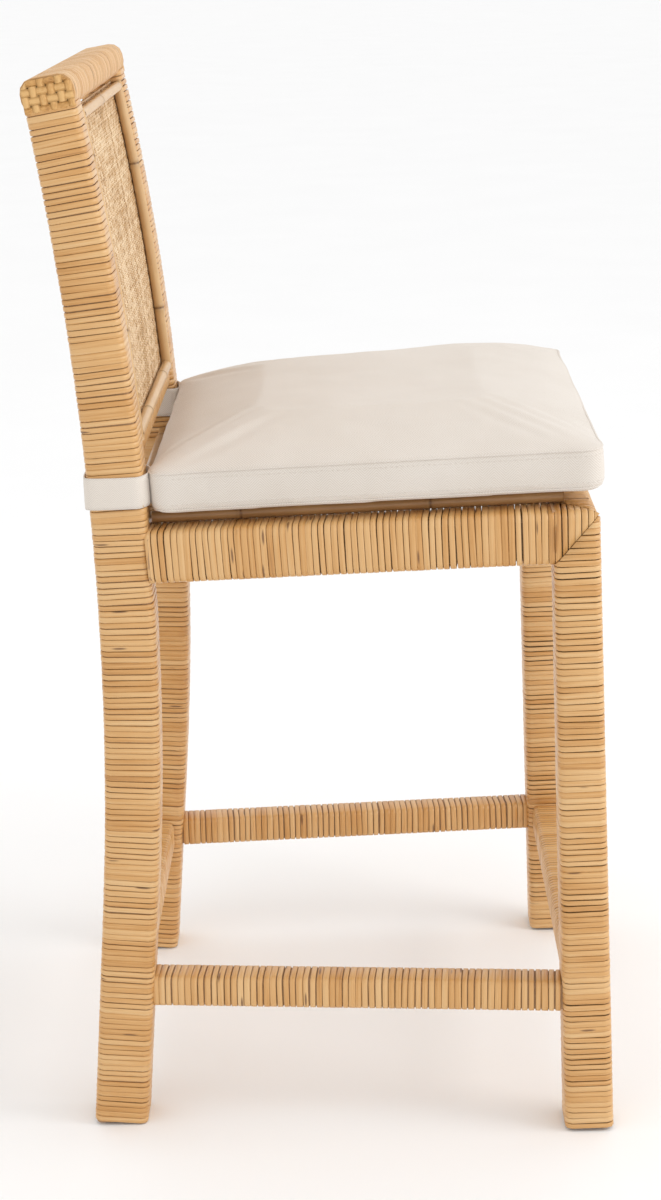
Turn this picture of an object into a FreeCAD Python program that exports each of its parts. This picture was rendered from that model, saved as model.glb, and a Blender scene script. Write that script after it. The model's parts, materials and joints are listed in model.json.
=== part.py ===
import FreeCAD, Part
import math
import os
from types import SimpleNamespace

import Sketcher
from FreeCAD import Placement, Rotation, Vector

# Bar stool with a footrest: a hardwood frame wrapped in rattan peel, a cane back panel and seat
# deck framed by slim poles, and a boxed seat cushion strapped to the rear posts.
#
# Frame: +Z up, -Y the front that the sitter faces, +X the sitter's left. The origin lies on the
# floor under the middle of the stool. Every size is in millimetres.

DIMENSIONS = [
    ("front_half_width", 242.0, "centre to the outer face of a front leg"),
    ("rear_half_width", 214.0, "centre to the outer face of a rear post"),
    ("leg_thick", 45.0, "leg and post size across the stool, over the wrap"),
    ("wrap", 2.0, "thickness of the rattan peel"),
    ("let_in", 3.0, "how far a rail runs into a leg before it is scribed to it"),
    ("leg_top_front", 230.0, "centre to the front face of a front leg at its top"),
    ("leg_foot_front", 246.5, "centre to the front face of a front leg at its foot"),
    ("leg_top_depth", 40.5, "front leg, front to back at its top"),
    ("leg_foot_depth", 45.0, "front leg, front to back at its foot"),
    ("leg_height", 589.4, "top of the front legs"),
    ("leg_edge", 7.0, "rounding of the leg and post edges"),
    ("post_rear", 206.2, "centre to the rear face of a post where it stands upright"),
    ("post_depth", 50.0, "post, front to back up to the seat"),
    ("post_top_depth", 43.5, "post, front to back under the top rail"),
    ("post_upright_drop", 118.4, "top of the legs down to where the post stands upright"),
    ("post_kick", 220.0, "height below which the post is straight"),
    ("post_top_rise", 350.6, "top of the legs up to the cut inside the top rail"),
    ("post_radius", 2900.0, "radius of the post's rear face"),
    ("rail_front", 202.8, "top rail's front top corner, back from the centre"),
    ("rail_top_rise", 374.8, "top of the legs up to the top rail's front top corner"),
    ("rail_depth", 46.0, "top rail, front to back"),
    ("rail_height", 30.0, "top rail, bottom to top"),
    ("rail_slope", 0.16, "fall of the top rail to the back, per unit"),
    ("rail_edge", 12.0, "rounding of the top rail's upper edges"),
    ("cap_thick", 2.0, "plaited cap on the ends of the top rail"),
    ("seat_slope", 0.05, "rise of the seat to the front, per unit"),
    ("apron_height", 48.0, "aprons, bottom to top"),
    ("apron_setback", 1.0, "front apron behind the front face of the legs"),
    ("apron_rise", 0.6, "front apron above the top of the front legs"),
    ("apron_depth", 40.0, "front and rear apron, front to back"),
    ("apron_edge", 8.0, "rounding of the apron edges"),
    ("stretcher_top", 148.5, "top of the footrest and the stretchers"),
    ("stretcher_height", 31.0, "footrest and stretchers, bottom to top"),
    ("stretcher_width", 33.0, "footrest and stretchers across"),
    ("stretcher_edge", 6.0, "rounding of the stretcher edges"),
    ("back_rail_rise", 35.6, "top of the legs up to the lower back rail"),
    ("back_rail_height", 18.0, "lower back rail, bottom to top"),
    ("back_rail_depth", 32.0, "lower back rail, front to back"),
    ("back_rail_edge", 5.0, "rounding of the lower back rail"),
    ("back_rail_setback", 3.0, "lower back rail behind the post's front face"),
    ("panel_thick", 3.0, "woven back panel"),
    ("back_pole", 10.0, "diameter of the poles round the back panel"),
    ("fit_gap", 0.3, "clearance between pieces that only lie against each other"),
    ("seat_pole", 11.0, "diameter of the poles round the seat deck"),
    ("seat_pole_inset", 34.0, "outer face of the stool to a seat pole's centre"),
    ("seat_panel_thick", 5.0, "woven seat panel"),
    ("cushion_rear", 154.7, "centre to the rear face of the cushion"),
    ("cushion_length", 391.0, "cushion, front to back"),
    ("cushion_front_half", 236.0, "cushion, centre to side at the front"),
    ("cushion_rear_half", 208.0, "cushion, centre to side at the back"),
    ("cushion_height", 64.0, "cushion, bottom to crown"),
    ("cushion_corner", 24.0, "cushion corner radius seen from above"),
    ("cushion_crown", 21.0, "rounding of the cushion's top edge"),
    ("cushion_under", 9.0, "rounding of the cushion's bottom edge"),
    ("cover_thick", 1.5, "cushion cover fabric"),
    ("zip_length", 300.0, "zip in the rear boxing of the cushion"),
    ("zip_width", 8.0, "zip tape"),
    ("zip_thick", 1.2, "zip tape, thickness"),
    ("zip_base", 18.0, "zip above the cushion's underside"),
    ("strap_rise", 4.6, "top of the legs up to the cushion straps"),
    ("strap_width", 28.0, "cushion strap, bottom to top"),
    ("strap_thick", 2.0, "cushion strap fabric"),
    ("strap_gap", 0.4, "strap to the post"),
    ("closure_length", 30.0, "hook-and-loop closure of a strap"),
    ("closure_thick", 1.2, "hook-and-loop closure, thickness"),
    ("closure_margin", 2.0, "closure to the strap's edges"),
    ("block_leg", 52.0, "corner block along each apron"),
    ("block_height", 24.0, "corner block, bottom to top"),
    ("block_drop", 14.0, "corner block below the top of the aprons"),
    ("screw_radius", 2.2, "corner block screw shank"),
    ("screw_head", 4.4, "corner block screw head, radius"),
    ("screw_head_thick", 2.5, "corner block screw head, thickness"),
    ("screw_length", 40.0, "corner block screw"),
    ("dowel_radius", 4.0, "frame dowel"),
    ("dowel_length", 30.0, "frame dowel"),
    ("dowel_pitch", 22.0, "between the two dowels of an apron joint"),
    ("glide_radius", 12.0, "foot glide"),
    ("glide_thick", 2.5, "foot glide below the leg"),
    ("glide_pin", 2.0, "foot glide nail, radius"),
    ("glide_pin_length", 14.0, "foot glide nail, length in the leg"),
]


class Size:
    """A number that also carries the spreadsheet expression it comes from."""

    def __init__(self, value, text):
        self.value = value
        self.text = text

    def joined(self, sign, other, value):
        return Size(value, f"({self.text} {sign} {other.text})")

    def __add__(self, other):
        other = as_size(other)
        return self.joined("+", other, self.value + other.value)

    def __sub__(self, other):
        other = as_size(other)
        return self.joined("-", other, self.value - other.value)

    def __mul__(self, other):
        other = as_size(other)
        return self.joined("*", other, self.value * other.value)

    def __truediv__(self, other):
        other = as_size(other)
        return self.joined("/", other, self.value / other.value)

    def __radd__(self, other):
        return as_size(other) + self

    def __rsub__(self, other):
        return as_size(other) - self

    def __rmul__(self, other):
        return as_size(other) * self

    def __rtruediv__(self, other):
        return as_size(other) / self

    def __neg__(self):
        return Size(-self.value, f"(0 - {self.text})")

    def root(self):
        return Size(math.sqrt(self.value), f"sqrt({self.text})")


def as_size(number):
    """A plain number as a Size."""
    return number if isinstance(number, Size) else Size(float(number), repr(float(number)))


def make_sheet(doc):
    """Put the driving dimensions in a spreadsheet and return them as Sizes by name."""
    sheet = doc.addObject("Spreadsheet::Sheet", "dims")
    sizes = {}
    for row, (alias, value, note) in enumerate(DIMENSIONS, start=1):
        sheet.set(f"A{row}", alias)
        sheet.set(f"B{row}", str(value))
        sheet.set(f"C{row}", note)
        sheet.setAlias(f"B{row}", alias)
        sizes[alias] = Size(value, f"dims.{alias}")
    doc.recompute()
    height = sizes["leg_height"]
    sizes["post_upright"] = height - sizes["post_upright_drop"]
    for level in ("post_top", "rail_top", "back_rail", "strap"):
        sizes[f"{level}_level"] = height + sizes[f"{level}_rise"]
    return SimpleNamespace(**sizes)


doc = FreeCAD.newDocument("bar_stool")
D = make_sheet(doc)
NODES = []
UP = Vector(0, 0, 1)
ACROSS = Vector(1, 0, 0)
ALONG = Vector(0, 1, 0)
SIDES = {"left": 1, "right": -1}


# ---------------------------------------------------------------- building blocks

def bind(thing, field, size):
    """Drive one field of an object from the spreadsheet."""
    thing.setExpression(field, as_size(size).text)


def keep(thing, label):
    """Name an object as a finished sub-part."""
    thing.Label = label
    NODES.append(thing)
    return thing


def new_body(name):
    return doc.addObject("PartDesign::Body", name)


def plane_of(body, role):
    return next(item for item in body.Origin.OriginFeatures if item.Role == role)


def new_sketch(body, name, role, offset=0.0):
    """A sketch on one of the body's own origin planes, moved along that plane's normal."""
    sketch = body.newObject("Sketcher::SketchObject", name)
    sketch.AttachmentSupport = [(plane_of(body, role), "")]
    sketch.MapMode = "FlatFace"
    sketch.AttachmentOffset = Placement(Vector(0, 0, as_size(offset).value), Rotation())
    bind(sketch, "AttachmentOffset.Base.z", offset)
    return sketch


def arc_through(start, end, radius, side):
    """The short arc from start to end, bulging to the left of the way (side 1) or right (-1)."""
    chord = end - start
    sagitta = radius - math.sqrt(radius ** 2 - (chord.Length / 2) ** 2)
    normal = Vector(-chord.y, chord.x, 0).normalize()
    return Part.Arc(start, start + chord * 0.5 + normal * sagitta * side, end)


def add_path(sketch, corners, arcs=None, closed=True):
    """Lines and arcs through the corners, each corner and radius bound to the spreadsheet.

    arcs maps the index of a side to (radius, side it bulges to).
    """
    arcs = arcs or {}
    spots = [Vector(as_size(x).value, as_size(y).value, 0) for x, y in corners]
    count = len(corners) if closed else len(corners) - 1
    ends = []
    for index in range(count):
        start = spots[index]
        end = spots[(index + 1) % len(corners)]
        if index in arcs:
            radius, side = arcs[index]
            curve = arc_through(start, end, as_size(radius).value, side)
        else:
            curve = Part.LineSegment(start, end)
        geometry = sketch.addGeometry(curve, False)
        forward = (sketch.getPoint(geometry, 1) - start).Length < 1e-6
        ends.append((geometry, 1, 2) if forward else (geometry, 2, 1))
    for index in range(count if closed else count - 1):
        geometry, _, last = ends[index]
        following, first, _ = ends[(index + 1) % count]
        sketch.addConstraint(Sketcher.Constraint("Coincident", geometry, last, following, first))
    for index, (x, y) in enumerate(corners):
        geometry, first, last = ends[min(index, count - 1)]
        point = first if index < count else last
        for kind, size in (("DistanceX", as_size(x)), ("DistanceY", as_size(y))):
            rule = sketch.addConstraint(
                Sketcher.Constraint(kind, -1, 1, geometry, point, size.value))
            sketch.setExpression(f"Constraints[{rule}]", size.text)
    for index, (radius, _) in arcs.items():
        radius = as_size(radius)
        rule = sketch.addConstraint(Sketcher.Constraint("Radius", ends[index][0], radius.value))
        sketch.setExpression(f"Constraints[{rule}]", radius.text)
    return sketch


def add_circle(sketch, x, y, radius):
    """One circle, its centre and radius bound to the spreadsheet."""
    x, y, radius = as_size(x), as_size(y), as_size(radius)
    circle = Part.Circle(Vector(x.value, y.value, 0), UP, radius.value)
    geometry = sketch.addGeometry(circle, False)
    for kind, size in (("DistanceX", x), ("DistanceY", y)):
        rule = sketch.addConstraint(Sketcher.Constraint(kind, -1, 1, geometry, 3, size.value))
        sketch.setExpression(f"Constraints[{rule}]", size.text)
    rule = sketch.addConstraint(Sketcher.Constraint("Radius", geometry, radius.value))
    sketch.setExpression(f"Constraints[{rule}]", radius.text)
    return sketch


def add_pad(body, sketch, length):
    pad = body.newObject("PartDesign::Pad", f"{body.Name}_pad")
    pad.Profile = sketch
    bind(pad, "Length", length)
    return pad


def add_slanted_pad(body, sketch, step, length):
    """A pad along a slanted step per unit of length, length being square to the sketch."""
    pad = add_pad(body, sketch, length)
    pad.UseCustomVector = True
    pad.AlongSketchNormal = True
    pad.Direction = Vector(*(size.value for size in step))
    for axis, size in zip("xyz", step):
        bind(pad, f"Direction.{axis}", size)
    return pad


def add_loft(body, first, second):
    loft = body.newObject("PartDesign::AdditiveLoft", f"{body.Name}_loft")
    loft.Profile = first
    loft.Sections = [second]
    loft.Ruled = True
    return loft


def runs_along(edge, axis):
    """True for an edge that follows the axis to within about 35 degrees."""
    middle = (edge.FirstParameter + edge.LastParameter) / 2
    return abs(edge.tangentAt(middle).dot(axis)) > 0.8


def round_edges(body, feature, radius, chosen):
    """Round the edges of a feature that the test picks."""
    doc.recompute()
    names = [f"Edge{number}" for number, edge in enumerate(feature.Shape.Edges, start=1)
             if chosen(edge)]
    fillet = body.newObject("PartDesign::Fillet", f"{body.Name}_rounding")
    fillet.Base = (feature, names)
    bind(fillet, "Radius", radius)
    return fillet


def cut_all(name, base, tools):
    """Cut every tool from the base, one after the other."""
    result = base
    for number, tool in enumerate(tools, start=1):
        cut = doc.addObject("Part::Cut", f"{name}_cut_{number}")
        cut.Base = result
        cut.Tool = tool
        result = cut
    return result


def place(thing, spot, rotation=Rotation()):
    """Put an object at a bound position, turned by a fixed rotation."""
    x, y, z = (as_size(value) for value in spot)
    thing.Placement = Placement(Vector(x.value, y.value, z.value), rotation)
    for axis, size in zip("xyz", (x, y, z)):
        bind(thing, f"Placement.Base.{axis}", size)
    return thing


def cylinder(name, spot, radius, length, axis):
    """A cylinder that starts at the spot and runs along the axis."""
    rod = doc.addObject("Part::Cylinder", name)
    bind(rod, "Radius", radius)
    bind(rod, "Height", length)
    return place(rod, spot, Rotation(UP, axis))


def group_of(name, solids):
    group = doc.addObject("Part::Compound", name)
    group.Links = solids
    return group


# ---------------------------------------------------------------- faces of legs and posts

def leg_front_face(height):
    """Front face of a front leg at a height, back from the centre."""
    share = height / D.leg_height
    chord = -D.leg_foot_front + (D.leg_foot_front - D.leg_top_front) * share
    return chord


def leg_rear_face(height):
    """Rear face of a front leg at a height."""
    share = height / D.leg_height
    return (leg_front_face(height) + D.leg_foot_depth
            + (D.leg_top_depth - D.leg_foot_depth) * share)


def arc_offset(radius, reach):
    """How far an arc has left its tangent at a distance from where it touches."""
    return radius - (radius * radius - reach * reach).root()


POST_TOP_REACH = D.post_top_level - D.post_upright
POST_KICK_REACH = D.post_upright - D.post_kick
POST_FRONT_RISE = arc_offset(D.post_radius, POST_TOP_REACH) + D.post_depth - D.post_top_depth
POST_FRONT_RADIUS = ((POST_TOP_REACH * POST_TOP_REACH + POST_FRONT_RISE * POST_FRONT_RISE)
                     / (2 * POST_FRONT_RISE))


def post_front_face(height):
    """Front face of a rear post at a height above the seat rails."""
    return (D.post_rear - D.post_depth
            + arc_offset(POST_FRONT_RADIUS, height - D.post_upright))


def post_low_face(height, depth):
    """Face of a rear post in its straight foot; depth is 0 at the rear face."""
    slope = POST_KICK_REACH / (D.post_radius * D.post_radius
                               - POST_KICK_REACH * POST_KICK_REACH).root()
    kick = D.post_rear - depth + arc_offset(D.post_radius, POST_KICK_REACH)
    return kick + slope * (D.post_kick - height)


FRONT_APRON_TOP = D.leg_height + D.apron_rise
FRONT_POLE_Y = -D.leg_top_front + D.seat_pole_inset


def seat_top(y):
    """Top of the side aprons: a plane that rises to the front."""
    return FRONT_APRON_TOP - D.seat_slope * (y - FRONT_POLE_Y)


# ---------------------------------------------------------------- legs and posts

def front_leg(name, side, inset):
    """A front leg, flared to the foot, set in all round by inset."""
    body = new_body(name)
    outer = D.front_half_width - inset
    inner = D.front_half_width - D.leg_thick + inset
    sketch = new_sketch(body, f"{name}_side", "YZ_Plane", inner if side > 0 else -outer)
    front_foot = -D.leg_foot_front + inset
    rear_foot = -D.leg_foot_front + D.leg_foot_depth - inset
    front_top = -D.leg_top_front + inset
    rear_top = -D.leg_top_front + D.leg_top_depth - inset
    top = D.leg_height - inset
    add_path(sketch, [(front_foot, D.glide_thick), (rear_foot, D.glide_thick),
                      (rear_top, top), (front_top, top)])
    pad = add_pad(body, sketch, outer - inner)
    round_edges(body, pad, D.leg_edge - inset, lambda edge: runs_along(edge, UP))
    return body


def rear_post(name, side, inset):
    """A rear post: a straight raked foot, then one long curve back to the top rail."""
    body = new_body(name)
    outer = D.rear_half_width - inset
    inner = D.rear_half_width - D.leg_thick + inset
    sketch = new_sketch(body, f"{name}_side", "YZ_Plane", inner if side > 0 else -outer)
    kick_shift = arc_offset(D.post_radius, POST_KICK_REACH)
    front = D.post_rear - D.post_depth + inset
    rear = D.post_rear - inset
    corners = [
        (post_low_face(D.glide_thick, D.post_depth) + inset, D.glide_thick),
        (post_low_face(D.glide_thick, 0) - inset, D.glide_thick),
        (rear + kick_shift, D.post_kick),
        (rear + arc_offset(D.post_radius, POST_TOP_REACH), D.post_top_level),
        (front + POST_FRONT_RISE, D.post_top_level),
        (front, D.post_upright),
        (front + kick_shift, D.post_kick),
    ]
    add_path(sketch, corners,
             {2: (D.post_radius, 1), 4: (POST_FRONT_RADIUS, -1), 5: (D.post_radius, -1)})
    pad = add_pad(body, sketch, outer - inner)
    round_edges(body, pad, D.leg_edge - inset, lambda edge: runs_along(edge, UP))
    return body


# ---------------------------------------------------------------- rails between them

def cross_rail(name, half_length, front, depth, base, height, inset, edge):
    """A straight rail across the stool."""
    body = new_body(name)
    sketch = new_sketch(body, f"{name}_section", "YZ_Plane", -half_length)
    y0, y1 = front + inset, front + depth - inset
    z0, z1 = base + inset, base + height - inset
    add_path(sketch, [(y0, z0), (y1, z0), (y1, z1), (y0, z1)])
    pad = add_pad(body, sketch, 2 * half_length)
    round_edges(body, pad, edge - inset, lambda item: runs_along(item, ACROSS))
    return body


def side_rail(name, side, ends, width, height, inset, edge):
    """A straight rail from a front leg to a rear post.

    ends holds (y, outer face x, top z) for the front and the rear end.
    """
    body = new_body(name)
    (y_front, x_front, top_front), (y_rear, x_rear, top_rear) = ends
    slant = (x_front - x_rear) / (y_rear - y_front)
    fall = (top_front - top_rear) / (y_rear - y_front)
    run_in = D.let_in + inset
    outer = x_rear - slant * run_in
    top = top_rear - fall * run_in
    sketch = new_sketch(body, f"{name}_section", "XZ_Plane", -(y_rear + run_in))
    near, far = side * (outer - inset), side * (outer - width + inset)
    z0, z1 = top - height + inset, top - inset
    add_path(sketch, [(near, z0), (far, z0), (far, z1), (near, z1)])
    pad = add_slanted_pad(body, sketch, (side * slant, as_size(-1), fall),
                          y_rear - y_front + 2 * run_in)
    round_edges(body, pad, edge - inset, lambda item: runs_along(item, ALONG))
    return body


def rail_outline(inset):
    """Corners of the raked top rail seen from the side, set in by inset."""
    length = (1 + D.rail_slope * D.rail_slope).root()
    cosine = 1 / length
    sine = D.rail_slope / length
    corners = []
    for back, down in ((0, 0), (1, 0), (1, 1), (0, 1)):
        along = back * D.rail_depth + (1 - 2 * back) * inset
        drop = down * D.rail_height + (1 - 2 * down) * inset
        corners.append((D.rail_front + along * cosine - drop * sine,
                        D.rail_top_level - along * sine - drop * cosine))
    return corners


def raked_rail(name, start, length, inset):
    """A length of the top rail, from x = start."""
    body = new_body(name)
    sketch = new_sketch(body, f"{name}_section", "YZ_Plane", start)
    add_path(sketch, rail_outline(inset))
    pad = add_pad(body, sketch, length)
    doc.recompute()
    middle = pad.Shape.CenterOfMass.z
    round_edges(body, pad, D.rail_edge - inset,
                lambda edge: runs_along(edge, ACROSS) and edge.CenterOfMass.z > middle)
    return body


def shapes_of(maker, *arguments):
    """The same member twice: its wooden core and its full outside."""
    name = arguments[0]
    core = maker(f"{name}_core", *arguments[1:], D.wrap)
    outside = maker(f"{name}_outside", *arguments[1:], as_size(0))
    return SimpleNamespace(name=name, core=core, outside=outside)


SEAT_LEVEL = D.leg_height - D.apron_height / 2
SEAT_REAR_LEVEL = seat_top(as_size(150)) - D.apron_height / 2
STRETCHER_MIDDLE = D.stretcher_top - D.stretcher_height / 2
STRETCHER_INSET = (D.leg_thick - D.stretcher_width) / 2

legs = {}
for word, sign in SIDES.items():
    legs[f"{word}_front_leg"] = shapes_of(front_leg, f"{word}_front_leg", sign)
    legs[f"{word}_rear_post"] = shapes_of(rear_post, f"{word}_rear_post", sign)

rails = {}


def add_cross_rail(name, half_width, front, depth, base, height, edge, posts):
    """A cross rail, with the legs or posts that it butts against."""
    face = half_width - D.leg_thick
    reach = face + D.wrap
    core = cross_rail(f"{name}_core", reach + D.let_in, front, depth, base, height, D.wrap, edge)
    outside = cross_rail(f"{name}_outside", face, front, depth, base, height, as_size(0), edge)
    rails[name] = SimpleNamespace(name=name, core=core, outside=outside, posts=posts, axis=ACROSS,
                                  reach=reach, middle=front + depth / 2, level=base + height / 2)


def add_side_rail(name, side, ends, width, height, edge, posts):
    """A side rail, with the leg and post that it is scribed to."""
    core = side_rail(f"{name}_core", side, ends, width, height, D.wrap, edge)
    outside = side_rail(f"{name}_outside", side, ends, width, height, as_size(0), edge)
    rails[name] = SimpleNamespace(name=name, core=core, outside=outside, posts=posts, axis=ALONG,
                                  ends=ends, side=side, width=width, height=height)


FRONT_LEGS = ("left_front_leg", "right_front_leg")
REAR_POSTS = ("left_rear_post", "right_rear_post")
REAR_APRON_FRONT = post_front_face(SEAT_REAR_LEVEL) + D.let_in + D.wrap + D.fit_gap
REAR_APRON_TOP = seat_top(REAR_APRON_FRONT)

add_cross_rail("front_apron", D.front_half_width, D.apron_setback - D.leg_top_front,
               D.apron_depth, FRONT_APRON_TOP - D.apron_height, D.apron_height, D.apron_edge,
               FRONT_LEGS)
add_cross_rail("rear_apron", D.rear_half_width, REAR_APRON_FRONT, D.apron_depth,
               REAR_APRON_TOP - D.apron_height, D.apron_height, D.apron_edge, REAR_POSTS)

LEG_AXIS_LOW = (leg_front_face(STRETCHER_MIDDLE) + leg_rear_face(STRETCHER_MIDDLE)) / 2
POST_AXIS_LOW = post_low_face(STRETCHER_MIDDLE, D.post_depth / 2)
add_cross_rail("front_footrest", D.front_half_width, LEG_AXIS_LOW - D.stretcher_width / 2,
               D.stretcher_width, D.stretcher_top - D.stretcher_height, D.stretcher_height,
               D.stretcher_edge, FRONT_LEGS)
add_cross_rail("rear_stretcher", D.rear_half_width, POST_AXIS_LOW - D.stretcher_width / 2,
               D.stretcher_width, D.stretcher_top - D.stretcher_height, D.stretcher_height,
               D.stretcher_edge, REAR_POSTS)
BACK_RAIL_TOP = D.back_rail_level + D.back_rail_height
add_cross_rail("lower_back_rail", D.rear_half_width,
               post_front_face(BACK_RAIL_TOP) + D.back_rail_setback, D.back_rail_depth,
               D.back_rail_level, D.back_rail_height, D.back_rail_edge, REAR_POSTS)

APRON_FRONT = leg_rear_face(SEAT_LEVEL)
APRON_REAR = post_front_face(SEAT_REAR_LEVEL)
APRON_ENDS = ((APRON_FRONT, D.front_half_width, seat_top(APRON_FRONT)),
              (APRON_REAR, D.rear_half_width, seat_top(APRON_REAR)))
LOW_FRONT = leg_rear_face(STRETCHER_MIDDLE)
LOW_REAR = post_low_face(STRETCHER_MIDDLE, D.post_depth)
LOW_ENDS = ((LOW_FRONT, D.front_half_width - STRETCHER_INSET, D.stretcher_top),
            (LOW_REAR, D.rear_half_width - STRETCHER_INSET, D.stretcher_top))
for word, sign in SIDES.items():
    pair = (f"{word}_front_leg", f"{word}_rear_post")
    add_side_rail(f"{word}_apron", sign, APRON_ENDS, D.leg_thick, D.apron_height,
                  D.apron_edge, pair)
    add_side_rail(f"{word}_stretcher", sign, LOW_ENDS, D.stretcher_width, D.stretcher_height,
                  D.stretcher_edge, pair)

rail_body = D.rear_half_width - D.cap_thick
top_rail_core = raked_rail("top_rail_core", -rail_body, 2 * rail_body, D.wrap)
top_rail_outside = raked_rail("top_rail_outside", -D.rear_half_width, 2 * D.rear_half_width,
                              as_size(0))
left_cap = keep(raked_rail("left_rail_end_cap", rail_body, D.cap_thick, as_size(0)),
                "left_rail_end_cap")
right_cap = keep(raked_rail("right_rail_end_cap", -D.rear_half_width, D.cap_thick, as_size(0)),
                 "right_rail_end_cap")


# ---------------------------------------------------------------- dowels, screws and glides

def dowel(name, spot, axis):
    """A dowel centred on the joint face at the spot."""
    start = [as_size(value) - part * D.dowel_length / 2 for value, part in zip(spot, axis)]
    return cylinder(name, start, D.dowel_radius, D.dowel_length, axis)


def dowel_levels(rail, level):
    """One dowel in a slim rail, two above each other in an apron."""
    if "apron" not in rail.name:
        return [level]
    return [level - D.dowel_pitch / 2, level + D.dowel_pitch / 2]


dowels = []
for rail in rails.values():
    if rail.axis is ACROSS:
        for word, sign in SIDES.items():
            for number, level in enumerate(dowel_levels(rail, rail.level)):
                spot = (sign * rail.reach, rail.middle, level)
                dowels.append(dowel(f"{rail.name}_{word}_dowel_{number}", spot, ACROSS))
    else:
        for (y, outer, top), way in zip(rail.ends, (-1, 1)):
            for number, level in enumerate(dowel_levels(rail, top - rail.height / 2)):
                spot = (rail.side * (outer - rail.width / 2), y + way * D.wrap, level)
                dowels.append(dowel(f"{rail.name}_{number}_dowel_{way + 1}", spot, ALONG))
RAIL_UNDER = D.rail_top_level - D.rail_height - D.rail_slope * D.rail_depth / 2
for word, sign in SIDES.items():
    spot = (sign * (D.rear_half_width - D.leg_thick / 2), D.rail_front + D.rail_depth / 2,
            RAIL_UNDER)
    dowels.append(dowel(f"{word}_rail_dowel", spot, UP))
frame_dowels = keep(group_of("frame_dowels", dowels), "frame_dowels")

glides = []
for word, sign in SIDES.items():
    for row, x, y in (
            ("front", D.front_half_width - D.leg_thick / 2,
             -D.leg_foot_front + D.leg_foot_depth / 2),
            ("rear", D.rear_half_width - D.leg_thick / 2,
             post_low_face(D.glide_thick, D.post_depth / 2))):
        disc = cylinder(f"{word}_{row}_glide_disc", (sign * x, y, 0), D.glide_radius,
                        D.glide_thick, UP)
        nail = cylinder(f"{word}_{row}_glide_nail", (sign * x, y, 0), D.glide_pin,
                        D.glide_thick + D.glide_pin_length, UP)
        glide = doc.addObject("Part::Fuse", f"{word}_{row}_glide")
        glide.Base = disc
        glide.Tool = nail
        glides.append(glide)
foot_glides = keep(group_of("foot_glides", glides), "foot_glides")


def corner_block(name, corner, along_side, across):
    """A three-sided block in a seat corner, from the corner and its two other corners."""
    body = new_body(name)
    top = REAR_APRON_TOP - D.block_drop
    sketch = new_sketch(body, f"{name}_plan", "XY_Plane", top - D.block_height)
    add_path(sketch, [corner, along_side, across])
    add_pad(body, sketch, D.block_height)
    return body


def block_screw(name, spot, axis, span):
    """A screw through a block, span from the head's seat to the apron's face."""
    reach = [as_size(value) - part * span for value, part in zip(spot, axis)]
    shank = cylinder(f"{name}_shank", reach, D.screw_radius, D.screw_length, axis)
    seat = [value - part * D.screw_head_thick for value, part in zip(reach, axis)]
    head = cylinder(f"{name}_head", seat, D.screw_head, D.screw_head_thick, axis)
    screw = doc.addObject("Part::Fuse", name)
    screw.Base = shank
    screw.Tool = head
    return screw


blocks = {}
screws = []
FRONT_APRON_REAR = D.apron_setback - D.leg_top_front + D.apron_depth
APRON_SLANT = (D.front_half_width - D.rear_half_width) / (APRON_REAR - APRON_FRONT)
block_level = REAR_APRON_TOP - D.block_drop - D.block_height / 2
for word, sign in SIDES.items():
    for row, y, way in (("front", FRONT_APRON_REAR, 1), ("rear", REAR_APRON_FRONT, -1)):
        x = D.front_half_width - D.leg_thick - APRON_SLANT * (y - APRON_FRONT)
        corner = (sign * x, y)
        along_side = (sign * (x - way * APRON_SLANT * D.block_leg), y + way * D.block_leg)
        across = (sign * (x - D.block_leg), y)
        name = f"{row}_{word}_corner_block"
        blocks[name] = corner_block(f"{name}_blank", corner, along_side, across)
        third = D.block_leg / 3
        screws.append(block_screw(f"{name}_screw_side",
                                  (sign * x, y + way * third, block_level),
                                  ACROSS * sign, D.block_leg / 2))
        screws.append(block_screw(f"{name}_screw_end",
                                  (sign * (x - 2 * third), y, block_level),
                                  ALONG * (-way), D.block_leg / 6))
corner_block_screws = keep(group_of("corner_block_screws", screws), "corner_block_screws")

for name, block in blocks.items():
    keep(cut_all(name, block, [corner_block_screws]), name)


# ---------------------------------------------------------------- frame: cores and wraps

for name, leg in legs.items():
    joined = [rail for rail in rails.values() if name in rail.posts]
    at_top = "post" in name
    core_tools = [frame_dowels, foot_glides] + ([top_rail_core] if at_top else [])
    keep(cut_all(name, leg.core, core_tools), name)
    wrap_tools = [leg.core] + [rail.core for rail in joined]
    wrap_tools += [top_rail_outside] if at_top else []
    keep(cut_all(f"{name}_wrap", leg.outside, wrap_tools), f"{name}_wrap")

for name, rail in rails.items():
    ends = [legs[post] for post in rail.posts]
    fixings = [corner_block_screws] if "apron" in name else []
    met = [rails["left_apron"].core, rails["right_apron"].core] if name == "front_apron" else []
    core_tools = [leg.core for leg in ends] + met + [frame_dowels] + fixings
    keep(cut_all(name, rail.core, core_tools), name)
    scribed = [leg.outside for leg in ends] if rail.axis is ALONG else []
    let_in = [rails["front_apron"].core] if rail.axis is ALONG and fixings else []
    wrap_tools = [rail.core] + scribed + let_in + fixings
    keep(cut_all(f"{name}_wrap", rail.outside, wrap_tools), f"{name}_wrap")

post_cores = [legs[name].core for name in REAR_POSTS]
keep(cut_all("top_rail", top_rail_core, [frame_dowels]), "top_rail")
keep(cut_all("top_rail_wrap", top_rail_outside,
             [left_cap, right_cap, top_rail_core] + post_cores), "top_rail_wrap")


# ---------------------------------------------------------------- back panel and its poles

PANEL_TOP = (D.rail_top_level - D.rail_height - D.rail_slope * (D.rail_depth / 2 + D.back_pole / 2)
             - D.fit_gap)
INNER_HALF = D.rear_half_width - D.leg_thick


def back_arc(setback, low, high):
    """Two points on the post's front curve moved back by setback."""
    return [(post_front_face(level) + setback, level) for level in (low, high)]


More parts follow.
